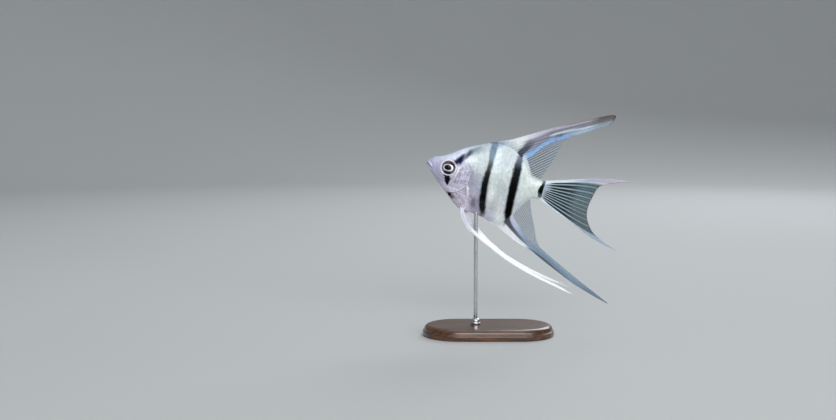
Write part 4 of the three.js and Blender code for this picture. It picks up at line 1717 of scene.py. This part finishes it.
@dataclass(frozen=True)
class Fins:
    """The fish's five ray-spread fins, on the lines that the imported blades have."""

    colours: FinColours

    def dorsal(self) -> Fin:
        """The tall fin, swept back to a long point, with a clear web behind it.

        Returns:
            The fin.
        """
        sheet = FinSheet(
            root=Path((
                (0, 33.6, 19.0), (0.25, 41, 21.2), (0.5, 49, 21.0), (0.7, 57, 16.2), (0.85, 63, 10.3),
                (1, 70.6, 5.2),
            )),
            tip=Path((
                (0, 35.6, 21.5), (0.1, 46.6, 25.7), (0.15, 53.2, 28.7), (0.2, 59.9, 32.7),
                (0.3, 76.3, 41.8), (0.4, 93.8, 50.6), (0.48, 109.5, 57.2), (0.53, 108.6, 51.4),
                (0.6, 98, 44.5), (0.66, 89.6, 39.8), (0.7, 84.0, 36.6), (0.77, 80.6, 31.0),
                (0.85, 78.6, 23.0), (0.93, 75.8, 14.6), (1, 73.2, 7.4),
            )),
            rays=Curve(((0, 0), (0.45, 11), (0.7, 17), (1, 29))),
            arch=lambda u: 0.008 * np.sin(np.pi * np.minimum(u * 1.2, 1.0)),
            lean=lambda u, reach: 0.0011 * reach**2,
            hem=Curve((
                (50, 8), (58, 14.5), (62, 17.6), (64, 19.8), (67, 24.0), (70, 27.2), (75, 31.3), (80, 34.3),
                (85, 37.3), (90, 39.8), (95, 42.6), (103, 47.3), (109, 51.2),
            )),
        )
        return Fin("dorsal_fin", sheet, self.colours.dorsal)

    def anal(self) -> Fin:
        """The fin below, which trails furthest.

        Returns:
            The fin.
        """
        sheet = FinSheet(
            root=Path((
                (0, 43.6, -24.6), (0.3, 50.6, -25.2), (0.55, 56.6, -23.4), (0.7, 60, -19.2),
                (0.85, 64, -11.8), (1, 68.8, -6.2),
            )),
            tip=Path((
                (0, 45.8, -26.8), (0.1, 54.4, -29.7), (0.2, 67.7, -35.9), (0.3, 82.7, -40.8),
                (0.38, 96.1, -47.3), (0.44, 113.5, -54.6), (0.48, 133.3, -60.0), (0.54, 117, -52.4),
                (0.62, 99, -43.9), (0.69, 85, -37.0), (0.77, 79.8, -31.5), (0.85, 76.8, -24.5),
                (0.93, 73, -16.6), (1, 70, -8.6),
            )),
            rays=Curve(((0, 0), (0.45, 9), (0.7, 15), (1, 27))),
            arch=lambda u: -0.015 * np.sin(np.pi * np.minimum(u * 1.2, 1.0)),
            lean=lambda u, reach: -0.0008 * reach**2,
            hem=Curve((
                (50, -10), (58, -15), (62, -20.7), (66, -25.0), (70, -29.0), (74, -32.2), (78, -34.2),
                (82, -36.1), (88, -38.7), (94, -41.6), (100, -44.5), (106, -47.5), (115, -51.7),
                (122, -54.8), (133, -59.7),
            )),
        )
        return Fin("anal_fin", sheet, self.colours.anal)

    def tail(self) -> Fin:
        """The tail fin, its outer rays drawn out to long points.

        Returns:
            The fin.
        """
        sheet = FinSheet(
            root=Path(((0, 72.5, 5.6), (0.5, 74.2, 0), (1, 72.5, -5.3))),
            tip=Path((
                (0, 130, 18.2), (0.05, 120.5, 15.4), (0.1, 113, 12.3), (0.17, 110, 9.4), (0.3, 108.2, 3.2),
                (0.5, 107, -3.8), (0.7, 107.9, -10), (0.82, 110.8, -15), (0.89, 115, -19.3),
                (0.95, 122.5, -23), (1, 132.6, -26.8),
            )),
            rays=Curve(((0, 0), (1, 12))),
            arch=lambda u: 0.032 - 0.062 * u,
            lean=lambda u, reach: 0.0013 * reach**2,
            thick=(0.42, 0.11),
        )
        return Fin("caudal_fin", sheet, self.colours.tail)

    def breast(self, side: Side) -> Fin:
        """A clear paddle behind the gill cover, fanned over 56 degrees and leaning out from the flank.

        Args:
            side: Which flank it is on.

        Returns:
            The fin, its root line short and nearly upright.
        """
        shares = np.linspace(0.0, 1.0, 11)
        angle = np.radians(-20.0 - 56.0 * shares)
        length = Curve(((0, 13.2), (0.3, 15.2), (0.6, 13.6), (1, 8.2)))(shares)
        root_x, root_z = 29.6 + 1.6 * shares, -10.2 - 4.6 * shares
        tip_x, tip_z = root_x + length * np.cos(angle), root_z + length * np.sin(angle)
        sheet = FinSheet(
            root=Path(tuple(zip(shares, root_x, root_z))),
            tip=Path(tuple(zip(shares, tip_x, tip_z))),
            rays=Curve(((0, 0), (1, 11))),
            arch=lambda u: 0.0 * u,
            lean=lambda u, reach: side.value * (6.9 - 0.5 * u + 0.26 * reach),
            thick=(0.26, 0.08),
            notch=0.3,
            across=180,
            along=44,
        )
        return Fin(f"pectoral_fin_{side.word}", sheet, self.colours.breast)


@dataclass(frozen=True)
class Strand:
    """A soft ray of a feeler: its place across, from -1 at the front edge to 1, its end and thickness."""

    place: float
    end: float
    size: float


@dataclass(frozen=True)
class Feeler:
    """A pelvic fin: a short spine and long soft rays, side by side, that part into threads at the end."""

    side: Side
    markings: Markings
    frame: FishFrame
    line: Path = Path((
        (0, 28.4, -21.0), (0.07, 31.3, -26.9), (0.155, 36.4, -32.4), (0.235, 42.6, -36.6),
        (0.335, 50.7, -41.1), (0.425, 58.1, -44.7), (0.51, 65.4, -47.7), (0.67, 79.6, -52.1),
        (0.825, 93.4, -55.2), (1, 110, -58.0),
    ))
    half_width: Curve = Curve((
        (0, 1.2), (0.1, 1.4), (0.3, 1.25), (0.6, 1.2), (0.85, 1.05), (0.95, 0.9), (1, 0.8),
    ))
    apart: Curve = Curve((
        (0, 0.5), (0.08, 1.1), (0.16, 1.4), (0.26, 0.9), (0.36, 0.35), (0.85, 0.4), (0.94, 0.8), (1, 0.8),
    ))
    spread: Curve = Curve(((0, 1.5), (0.12, 2.9), (0.4, 4.6), (0.7, 6.0), (1, 7.6)))
    strands: tuple[Strand, ...] = (
        Strand(-0.78, 0.19, 0.34), Strand(-0.46, 1.0, 0.40), Strand(-0.10, 0.985, 0.40),
        Strand(0.26, 0.95, 0.36), Strand(0.56, 0.90, 0.30), Strand(0.84, 0.42, 0.24),
    )
    around: int = 12
    rows: int = 150
    length: float = 92.0
    deep: float = 0.33

    def strand(self, ray: Strand) -> tuple[Tube, Array]:
        """One soft ray: an oval section carried along the feeler's line, beside it by its share of the width.

        Args:
            ray: Which soft ray.

        Returns:
            The ray as a closed tube, and how far along the feeler each of its rings is.
        """
        own = np.linspace(0.0, 1.0, self.rows)
        share = own * ray.end
        x, z = self.line(share)
        ahead, behind = self.line(np.minimum(share + 0.01, 1.0)), self.line(np.maximum(share - 0.01, 0.0))
        run_x, run_z = ahead[0] - behind[0], ahead[1] - behind[1]
        length = np.hypot(run_x, run_z)
        wander = ray.place + 0.10 * np.sin(6.0 * share + 7.0 * ray.place) * step(0.3, 1.0, share)
        beside = self.half_width(share) * wander + self.apart(share) * self.side.value
        taper = np.clip((1.0 - own) * 30.0, 0.02, 1.0) ** 0.5 * (1.0 - 0.35 * own)
        angle = np.linspace(0.0, 2.0 * np.pi, self.around, endpoint=False)
        flat = beside[:, None] + (self.half_width(share) * ray.size * taper)[:, None] * np.cos(angle)
        out = self.spread(share) + 0.14 * np.sin(5.0 * share + 6.0 * ray.place)
        y = self.side.value * out[:, None] + (self.deep * taper)[:, None] * np.sin(angle)
        ring_x = x[:, None] - (run_z / length)[:, None] * flat
        rings = np.stack([ring_x, y, z[:, None] + (run_x / length)[:, None] * flat], axis=-1)
        return Tube(rings, rings[[0, -1]].mean(axis=1)), share

    def surface(self) -> Surface:
        """All the rays joined, each closed at both ends.

        Returns:
            The painted feeler.
        """
        whole, start = [], 0
        for number, ray in enumerate(self.strands):
            tube, share = self.strand(ray)
            points = tube.points()
            shares = np.concatenate([np.repeat(share, self.around), share[[0, -1]]])
            root = self.markings.colour(points[:, 0], np.maximum(points[:, 2], -22.5))
            # painted shade on the first tenth of the feeler, fading out by three tenths of the way along
            pale = mix(Tone.FEELER_ROOT_SHADE, Tone.FEELER_WHITE, step(0.1, 0.3, shares))
            rgb = mix(root, pale, step(0.0, 0.07, shares))
            maps = tube.maps(0.98 * share, number / len(self.strands), 0.9 / len(self.strands))
            faces = tube.quads() + start, tube.triangles() + start
            whole.append((points, *faces, rgb, self.length * shares, *maps))
            start += len(points)
        points, quads, triangles, rgb, reach, *maps = (np.concatenate(part) for part in zip(*whole))
        return Surface(
            f"pelvic_fin_{self.side.word}", self.frame.to_world(points), quads, triangles, {"paint": rgb},
            {"reach": reach}, *maps,
        )

    def make(self, material: Material) -> Piece:
        """The feeler as a piece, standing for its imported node."""
        surface = self.surface()
        return surface.make(material, "feeler", [surface.name])


# ---- Stand ----


@dataclass(frozen=True)
class Outline:
    """A stand piece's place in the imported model, in metres: the middle of its foot, and its size."""

    centre: Array
    size: Array

    @classmethod
    def of(cls, node: str) -> Outline:
        """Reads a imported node's box."""
        low, high = np.array(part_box(node), float)
        return cls(np.array([(low[0] + high[0]) / 2.0, (low[1] + high[1]) / 2.0, low[2]]), high - low)


@dataclass(frozen=True)
class Stand:
    """A moulded wooden board with round ends, a bright steel rod, and a turned collar that holds the rod."""

    edge: tuple[Pair, ...] = (
        (6.0, 0.0), (0.7, 0.0), (0.45, 0.04), (0.2, 0.2), (0.04, 0.45), (0.0, 0.8), (0.0, 1.6), (0.0, 2.6),
        (0.03, 2.95), (0.12, 3.2), (0.3, 3.42), (0.55, 3.5), (0.75, 3.55), (0.85, 3.7), (0.87, 4.0),
        (0.92, 4.5), (1.08, 5.1), (1.35, 5.65), (1.75, 6.15), (2.3, 6.55), (2.95, 6.82), (3.6, 6.96),
        (4.1, 7.0), (4.6, 7.0), (7.0, 7.0), (12.0, 7.0),
    )
    collar: tuple[Pair, ...] = (
        (1.22, 0.02), (2.6, 0.0), (3.0, 0.0), (3.12, 0.05), (3.2, 0.2), (3.2, 0.75), (3.16, 0.86),
        (3.04, 0.92), (2.9, 0.98), (2.82, 1.1), (2.8, 1.3), (2.8, 2.4), (2.78, 2.62), (2.7, 2.8),
        (2.5, 3.05), (2.2, 3.28), (1.9, 3.42), (1.6, 3.5), (1.4, 3.48), (1.22, 3.4),
    )
    around: int = 192
    turned_around: int = 72
    post_rings: int = 12
    top_rings: int = 8
    buried: float = 1.3
    mapped: Pair = (0.05, 0.95)

    def board(self) -> Surface:
        """Rings of the board's outline, two half circles joined by straight sides, drawn in by the moulding.

        Returns:
            The board.
        """
        place = Outline.of("stand_base")
        inset, z = np.array(self.edge).T * MM
        tall = place.size[2] / z[-1]
        angle = np.linspace(0.0, 2.0 * np.pi, self.around, endpoint=False) + np.pi / self.around
        radius = place.size[1] / 2.0 - inset[:, None]
        straight = (place.size[0] - place.size[1]) / 2.0
        x = place.centre[0] + np.sign(np.cos(angle)) * straight + radius * np.cos(angle)
        y = place.centre[1] + radius * np.sin(angle)
        rings = np.stack([x, y, np.broadcast_to(place.centre[2] + z[:, None] * tall, x.shape)], axis=-1)
        ends = place.centre + np.array([[0.0, 0.0, 0.0], [0.0, 0.0, place.size[2]]])
        return Tube(rings, ends).surface("stand_board", None, {}, np.linspace(*self.mapped, len(z)))

    def turned(self, name: str, centre: Array, radius: Array, z: Array) -> Surface:
        """Rings round an upright axis, closed by a point at each end.

        Args:
            name: The piece's name.
            centre: The middle of its foot.
            radius: Each ring's radius.
            z: Each ring's height over the foot.

        Returns:
            The turned piece.
        """
        rings = centre + turned_rings(radius, z, self.turned_around)
        ends = centre + np.outer(z[[0, -1]], [0.0, 0.0, 1.0])
        return Tube(rings, ends).surface(name, None, {}, np.linspace(*self.mapped, len(z)))

    def post(self) -> Surface:
        """The rod, from its foot in the board to its rounded top, buried in the belly.

        Returns:
            The rod.
        """
        place = Outline.of("stand_rod")
        radius, top = place.size[0] / 2.0, place.size[2] + self.buried * MM
        turn = np.linspace(0.0, np.pi / 2.0, self.top_rings, endpoint=False)
        radii = np.concatenate([np.full(self.post_rings, radius), radius * np.cos(turn)])
        straight = np.linspace(0.0, top - 1.01 * radius, self.post_rings)
        z = np.concatenate([straight, top - radius + radius * np.sin(turn)])
        return self.turned("stand_post", place.centre, radii, z)

    def ring(self) -> Surface:
        """The collar, its profile turned round the rod.

        Returns:
            The collar.
        """
        place = Outline.of("stand_collar")
        radius, z = np.array(self.collar).T * MM
        return self.turned("stand_ring", place.centre, radius, z * place.size[2] / z.max())

    def make(self, wood: Material, steel: Material) -> list[Piece]:
        """All three pieces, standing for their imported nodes.

        Args:
            wood: The board's finish.
            steel: The rod's and collar's.

        Returns:
            The pieces.
        """
        return [
            self.board().make(wood, "base", ["stand_base"]),
            self.post().make(steel, "rod", ["stand_rod"]),
            self.ring().make(steel, "rod", ["stand_collar"]),
        ]


# ---- Finishes ----


class Graph:
    """A material's nodes, added one at a time with their inputs given by name or number."""

    def __init__(self, name: str) -> None:
        """Starts an empty material.

        Args:
            name: The material's name.
        """
        self.material = bpy.data.materials.new(name)
        self.material.use_nodes = True
        self.tree = self.material.node_tree
        self.tree.nodes.clear()

    def add(
        self, kind: str, inputs: Mapping[str | int, Input] | None = None, **settings: str
    ) -> bpy.types.Node:
        """Adds a node.

        Args:
            kind: The node's type, without its common prefix.
            inputs: A value, or another node's output, for each input named.
            settings: The node's own settings.

        Returns:
            The node.
        """
        node = self.tree.nodes.new(f"ShaderNode{kind}")
        for key, value in settings.items():
            setattr(node, key, value)
        for key, value in (inputs or {}).items():
            if isinstance(value, Socket):
                self.tree.links.new(value, node.inputs[key])
            else:
                node.inputs[key].default_value = value
        return node

    def math(self, operation: str, *values: Input) -> Socket:
        """A sum, product or other function of up to three values."""
        return self.add("Math", dict(enumerate(values)), operation=operation).outputs[0]

    def blend(self, share: Input, first: Input, second: Input, kind: str = "MIX") -> Socket:
        """A colour between two."""
        inputs = {0: share, 6: first, 7: second}
        return self.add("Mix", inputs, data_type="RGBA", blend_type=kind).outputs[2]

    def times(self, first: Input, second: Input, share: Input = 1.0) -> Socket:
        """A colour multiplied by another, or by a share of it."""
        return self.blend(share, first, second, "MULTIPLY")

    def span(self, value: Input, ends: Span, across: Span = (0.0, 1.0)) -> Socket:
        """A value that runs from one end to the other while another runs across its own span."""
        return self.add("MapRange", {0: value, 1: across[0], 2: across[1], 3: ends[0], 4: ends[1]}).outputs[0]

    def number(self, name: str) -> Socket:
        """The piece's own painted number, or how bright its painted colour is."""
        return self.add("Attribute", attribute_name=name).outputs["Fac"]

    def paint(self, name: str = "paint") -> Socket:
        """The piece's own painted colour."""
        return self.add("Attribute", attribute_name=name).outputs["Color"]

    def joints(self, length: float, low: float) -> Socket:
        """Narrow bands across a ray, one in every length, where the sine of its reach is above low."""
        reach = self.math("MULTIPLY", self.number("reach"), 2.0 * np.pi / length)
        return self.span(self.math("SINE", reach), (0.0, 1.0), (low, 1.0))

    def speckle(self, scale: float, detail: float = 3.0, stretch: Triple = (1, 1, 1)) -> Socket:
        """A cloudy pattern of that many spots a metre, stretched by its scale along each axis."""
        place = self.add("Mapping", {"Vector": self.add("TexCoord").outputs["Object"], "Scale": stretch})
        return self.add("TexNoise", {"Vector": place.outputs[0], "Scale": scale, "Detail": detail}).outputs[0]

    def bump(self, height: Input, strength: float, distance: float) -> Socket:
        """The surface's direction, tilted by a height pattern."""
        return self.add("Bump", {"Height": height, "Strength": strength, "Distance": distance}).outputs[0]

    def shaded(self, inputs: Mapping[str, Input]) -> Material:
        """Ends the material in one principled shader with those inputs."""
        self.add("OutputMaterial", {"Surface": self.add("BsdfPrincipled", inputs).outputs[0]})
        return self.material


def opaque(code: str) -> tuple[float, ...]:
    """A six-digit screen colour as a node's colour input takes it."""
    return (*linear(code), 1.0)


@dataclass(frozen=True)
class FleshFinish:
    """Wet silvery skin: the painted markings, mottled, with a metal sheen that comes and goes."""

    name: str = "silver_skin"
    mottle: float = 520.0
    grain: float = 3200.0
    mottling: Span = (0.93, 1.06)
    metal: Span = (0.08, 0.26)
    roughness: Span = (0.34, 0.50)
    shine: Span = (0.05, 0.2)
    coat: Span = (0.0375, 0.15)
    dark_to_silver: Span = (0.01, 0.2)
    grain_depth: float = 0.0001

    def material(self) -> Material:
        """Multiplies the paint by soft spots, lets other spots steer the sheen, and dulls the dark bars.

        Returns:
            The finish.
        """
        graph = Graph(self.name)
        cloud, fine = graph.speckle(self.mottle), graph.speckle(self.grain)
        silver = graph.number("paint")
        return graph.shaded({
            "Base Color": graph.times(graph.paint(), graph.span(cloud, self.mottling, SPOTS)),
            "Metallic": graph.span(cloud, self.metal, (0.35, 0.65)),
            "Roughness": graph.span(fine, self.roughness, SPOTS),
            "Specular IOR Level": graph.span(silver, self.shine, self.dark_to_silver),
            "Coat Weight": graph.span(silver, self.coat, self.dark_to_silver),
            "Coat Roughness": 0.16,
            "Coat IOR": 1.33,
            "Normal": graph.bump(fine, 0.12, self.grain_depth),
        })


@dataclass(frozen=True)
class FinFinish:
    """A fin's web and rays: pale or dark bony threads drawn on a skin that lets light through."""

    name: str = "fin_web"
    joint_length: float = 0.9
    sharpness: float = 3.2
    joint_tint: tuple[float, ...] = (0.72, 0.72, 0.76, 1.0)
    mottle: float = 700.0
    mottling: Span = (0.9, 1.08)
    glint: float = 400.0
    metal: Span = (0.0, 0.12)
    roughness: Span = (0.28, 0.42)
    ray_height: float = 0.00008

    def material(self) -> Material:
        """Draws each ray where the cosine of the ray count is high, and finer ones where it is low.

        Returns:
            The finish.
        """
        graph = Graph(self.name)
        turn = graph.math("MULTIPLY", graph.number("phase"), 2.0 * np.pi)
        whole = graph.span(graph.math("COSINE", turn), (0.0, 1.0), (-1.0, 1.0))
        between = graph.math("MULTIPLY", graph.math("SUBTRACT", 1.0, whole), graph.number("branching"))
        ray = graph.math("POWER", graph.math("MAXIMUM", whole, between), self.sharpness)
        joint = graph.math("MULTIPLY", graph.joints(self.joint_length, 0.6), ray)
        colour = graph.blend(ray, graph.paint(), graph.paint("ray_paint"))
        colour = graph.blend(joint, colour, graph.times(colour, self.joint_tint))
        veils = {0: ray, 2: graph.number("veil"), 3: graph.number("ray_veil")}
        height = graph.math("SUBTRACT", ray, graph.math("MULTIPLY", joint, 0.4))
        return graph.shaded({
            "Base Color": graph.times(colour, graph.span(graph.speckle(self.mottle), self.mottling, SPOTS)),
            "Roughness": graph.span(ray, self.roughness),
            "Metallic": graph.span(graph.speckle(self.glint), self.metal, (0.4, 0.7)),
            "Specular IOR Level": 0.15,
            "Alpha": graph.add("Mix", veils, data_type="FLOAT").outputs[0],
            "Coat Weight": 0.05,
            "Coat IOR": 1.33,
            "Coat Roughness": 0.15,
            "Normal": graph.bump(height, 0.35, self.ray_height),
        })


@dataclass(frozen=True)
class FeelerFinish:
    """Milk-white soft rays, ringed by fine joints."""

    name: str = "feeler_white"
    joint_length: float = 0.8
    joint_tint: tuple[float, ...] = (0.91, 0.92, 0.94, 1.0)
    mottle: float = 500.0
    mottling: Span = (0.95, 1.03)
    roughness: Span = (0.32, 0.46)
    glow_depth: Triple = (0.001, 0.0008, 0.0007)
    joint_height: float = 0.00006

    def material(self) -> Material:
        """The paint, with faint bands where the sine of the distance along the feeler is high.

        Returns:
            The finish.
        """
        graph = Graph(self.name)
        joint = graph.joints(self.joint_length, 0.5)
        cloud = graph.speckle(self.mottle)
        colour = graph.times(graph.paint(), graph.span(cloud, self.mottling, SPOTS))
        return graph.shaded({
            "Base Color": graph.blend(joint, colour, graph.times(colour, self.joint_tint)),
            "Roughness": graph.span(cloud, self.roughness, SPOTS),
            "Coat Weight": 0.25,
            "Coat Roughness": 0.2,
            "Subsurface Weight": 0.15,
            "Subsurface Radius": self.glow_depth,
            "Normal": graph.bump(joint, 0.25, self.joint_height),
        })


@dataclass(frozen=True)
class EyeFinish:
    """A wet, bright eye: metal where it is silver, glassy where it is dark."""

    name: str = "eye_bright"
    grain: float = 2600.0
    mottling: Span = (0.9, 1.1)
    metal: Span = (0.0, 0.45)
    roughness: Span = (0.22, 0.36)
    grain_depth: float = 0.00006

    def material(self) -> Material:
        """The paint, under a clear coat.

        Returns:
            The finish.
        """
        graph = Graph(self.name)
        fine = graph.speckle(self.grain)
        return graph.shaded({
            "Base Color": graph.times(graph.paint(), graph.span(fine, self.mottling, SPOTS)),
            "Metallic": graph.span(graph.number("gloss"), self.metal),
            "Roughness": graph.span(fine, self.roughness, SPOTS),
            "Specular IOR Level": 0.1,
            "Coat Weight": 0.6,
            "Coat IOR": 1.2,
            "Coat Roughness": 0.03,
            "Normal": graph.bump(fine, 0.15, self.grain_depth),
        })


@dataclass(frozen=True)
class WoodFinish:
    """Dark walnut under a satin varnish, its grain along the board."""

    name: str = "stand_walnut"
    heartwood: str = "2B160C"
    sapwood: str = "6B4225"
    streaks: str = "3A2012"
    pores: str = "170B06"
    ring_count: float = 46.0
    roughness: Span = (0.30, 0.42)
    pore_depth: float = 0.0001

    def material(self) -> Material:
        """Streaks and fine pores, both stretched along the board, over a slow change of tone.

        Returns:
            The finish.
        """
        graph = Graph(self.name)
        figure = graph.speckle(60.0, 4.0, (0.25, 1.6, 1.6))
        streak = graph.speckle(420.0, 6.0, (0.06, 1.0, 1.0))
        pore = graph.speckle(2400.0, 2.0, (0.05, 1.0, 1.0))
        rings = graph.math("SINE", graph.math("MULTIPLY", figure, self.ring_count))
        rings = graph.span(rings, (0.15, 0.75), (-1.0, 1.0))
        colour = graph.blend(rings, opaque(self.sapwood), opaque(self.heartwood))
        colour = graph.blend(graph.span(streak, (0.0, 0.7), (0.35, 0.7)), colour, opaque(self.streaks))
        colour = graph.blend(graph.span(pore, (0.0, 0.8), (0.58, 0.70)), colour, opaque(self.pores))
        return graph.shaded({
            "Base Color": colour,
            "Roughness": graph.span(streak, self.roughness, SPOTS),
            "Coat Weight": 0.5,
            "Coat Roughness": 0.16,
            "Normal": graph.bump(pore, 0.10, self.pore_depth),
        })


@dataclass(frozen=True)
class SteelFinish:
    """Brushed stainless steel, with fine rings left by turning."""

    name: str = "stand_steel"
    dull: str = "B9BBBE"
    bright: str = "D3D4D6"
    roughness: Span = (0.24, 0.32)
    ring_depth: float = 0.00002

    def material(self) -> Material:
        """Grey metal whose gloss changes in fine level rings.

        Returns:
            The finish.
        """
        graph = Graph(self.name)
        ring = graph.speckle(5200.0, 2.0, (0.02, 0.02, 1.0))
        return graph.shaded({
            "Base Color": graph.blend(graph.speckle(160.0), opaque(self.dull), opaque(self.bright)),
            "Metallic": 1.0,
            "Roughness": graph.span(ring, self.roughness, SPOTS),
            "Normal": graph.bump(ring, 0.015, self.ring_depth),
        })


@dataclass(frozen=True)
class PaperFinish:
    """The studio's pale matt paper."""

    name: str = "studio_paper"
    colour: str = "B4B7B8"
    cloud: float = 3.0
    mottling: Span = (0.98, 1.02)
    roughness: Span = (0.85, 0.95)

    def material(self) -> Material:
        """A pale grey with the faintest cloud in it.

        Returns:
            The finish.
        """
        graph = Graph(self.name)
        cloud = graph.speckle(self.cloud)
        colour = graph.times(opaque(self.colour), graph.span(cloud, self.mottling))
        return graph.shaded({"Base Color": colour, "Roughness": graph.span(cloud, self.roughness)})


# ---- Studio ----


@dataclass(frozen=True)
class Lamp:
    """A soft square light: its place and size in metres, power in watts, colour and spread in degrees."""

    name: str
    place: Triple
    size: float
    power: float
    colour: Triple = (1.0, 1.0, 1.0)
    spread: float = 180.0

    def hang(self, target: Vector) -> None:
        """Hangs the light, turned to the target and unseen by the camera.

        Args:
            target: What it is turned to.
        """
        data = bpy.data.lights.new(self.name, "AREA")
        data.size, data.energy, data.color = self.size, self.power, self.colour
        data.spread = np.radians(self.spread)
        lamp = bpy.data.objects.new(self.name, data)
        lamp.location = self.place
        lamp.rotation_euler = (target - Vector(self.place)).to_track_quat("-Z", "Y").to_euler()
        lamp.visible_camera = False
        bpy.context.collection.objects.link(lamp)


@dataclass(frozen=True)
class Studio:
    """A pale floor that turns up into a wall all round, soft lights, and the camera."""

    flat: float = 1.5
    bend: float = 0.9
    wall: float = 2.6
    aim: Triple = (-0.0451, 0.0, 0.0805)
    distance: float = 0.739
    rise: float = 5.0
    lens: float = 50.0
    lamps: tuple[Lamp, ...] = (
        Lamp("key", (0.05, -1.8, 0.95), 1.2, 6.6, (1.0, 0.99, 0.97), 90.0),
        Lamp("fill", (0.9, -1.5, 0.65), 1.0, 3.0, (0.96, 0.98, 1.0), 90.0),
        Lamp("top", (0.1, 0.2, 1.7), 1.2, 6.0),
        Lamp("rim", (0.6, 1.2, 1.0), 0.9, 11.0, (0.95, 0.98, 1.0)),
    )
    ambient: float = 0.5
    air: tuple[float, ...] = (0.93, 0.96, 1.0, 1.0)
    inner_rings: tuple[float, ...] = (0.4, 1.0)
    bend_rings: int = 24
    around: int = 96

    def floor(self, material: Material) -> Piece:
        """A round sheet: level out to its flat radius, then a quarter circle up, then an upright wall.

        Args:
            material: The finish it wears.

        Returns:
            The sheet, not attached to the fish's body.
        """
        turn = np.linspace(0.0, np.pi / 2.0, self.bend_rings)
        out, up = self.flat + self.bend * np.sin(turn), self.bend * (1.0 - np.cos(turn))
        radius = np.concatenate([self.inner_rings, out, out[-1:]])
        rise = np.concatenate([np.zeros(len(self.inner_rings)), up, [self.wall]])
        tube = Tube(turned_rings(radius, rise, self.around), np.zeros((1, 3)))
        faces = tube.quads().tolist() + tube.triangles()[: self.around].tolist()
        mesh = bpy.data.meshes.new("studio_floor")
        mesh.from_pydata(tube.points().tolist(), [], faces)
        mesh.shade_smooth()
        mesh.materials.append(material)
        sheet = bpy.data.objects.new("studio_floor", mesh)
        bpy.context.collection.objects.link(sheet)
        return sheet

    def light(self) -> None:
        """Hangs the lamps and fills the room with a pale even light."""
        for lamp in self.lamps:
            lamp.hang(Vector(self.aim))
        world = bpy.data.worlds.new("studio_air")
        world.use_nodes = True
        background = world.node_tree.nodes["Background"]
        background.inputs["Color"].default_value = self.air
        background.inputs["Strength"].default_value = self.ambient
        bpy.context.scene.world = world

    def camera(self) -> Piece:
        """Sets the camera off the fish's left side, a little above it, and the film's plain response.

        Returns:
            The camera.
        """
        bpy.context.scene.view_settings.view_transform = "Standard"
        data = bpy.data.cameras.new("camera")
        data.lens = self.lens
        camera = bpy.data.objects.new("camera", data)
        rise = np.radians(self.rise)
        away = Vector((0.0, -np.cos(rise), np.sin(rise))) * self.distance
        camera.location = Vector(self.aim) + away
        camera.rotation_euler = (-away).to_track_quat("-Z", "Y").to_euler()
        bpy.context.collection.objects.link(camera)
        bpy.context.scene.camera = camera
        return camera


def main() -> None:
    """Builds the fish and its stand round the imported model, then the studio."""
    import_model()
    body, features = Body(), Features()
    frame = FishFrame.between_eyes(Eye.x, Eye.z, np.radians(NOSE_UP))
    markings = Markings(body, features)
    flesh = Flesh(Flank(body), features)
    silver, web, white = FleshFinish().material(), FinFinish().material(), FeelerFinish().material()
    bright = EyeFinish().material()

    Skin(flesh, markings, frame).make(silver)
    fins = Fins(FinColours(markings))
    for fin in (fins.dorsal(), fins.anal(), fins.tail()):
        fin.make(frame, web)
    for number, side in enumerate(Side):
        Scales(flesh, markings, frame).make(side, FIRST_SEED + number, silver)
        Eye(side, frame).make(bright)
        fins.breast(side).make(frame, web)
        Feeler(side, markings, frame).make(white)
    Stand().make(WoodFinish().material(), SteelFinish().material())

    studio = Studio()
    studio.floor(PaperFinish().material())
    studio.light()
    studio.camera()


if __name__ == "__main__":
    logging.basicConfig(level=logging.INFO, format="%(name)s: %(message)s")
    main()
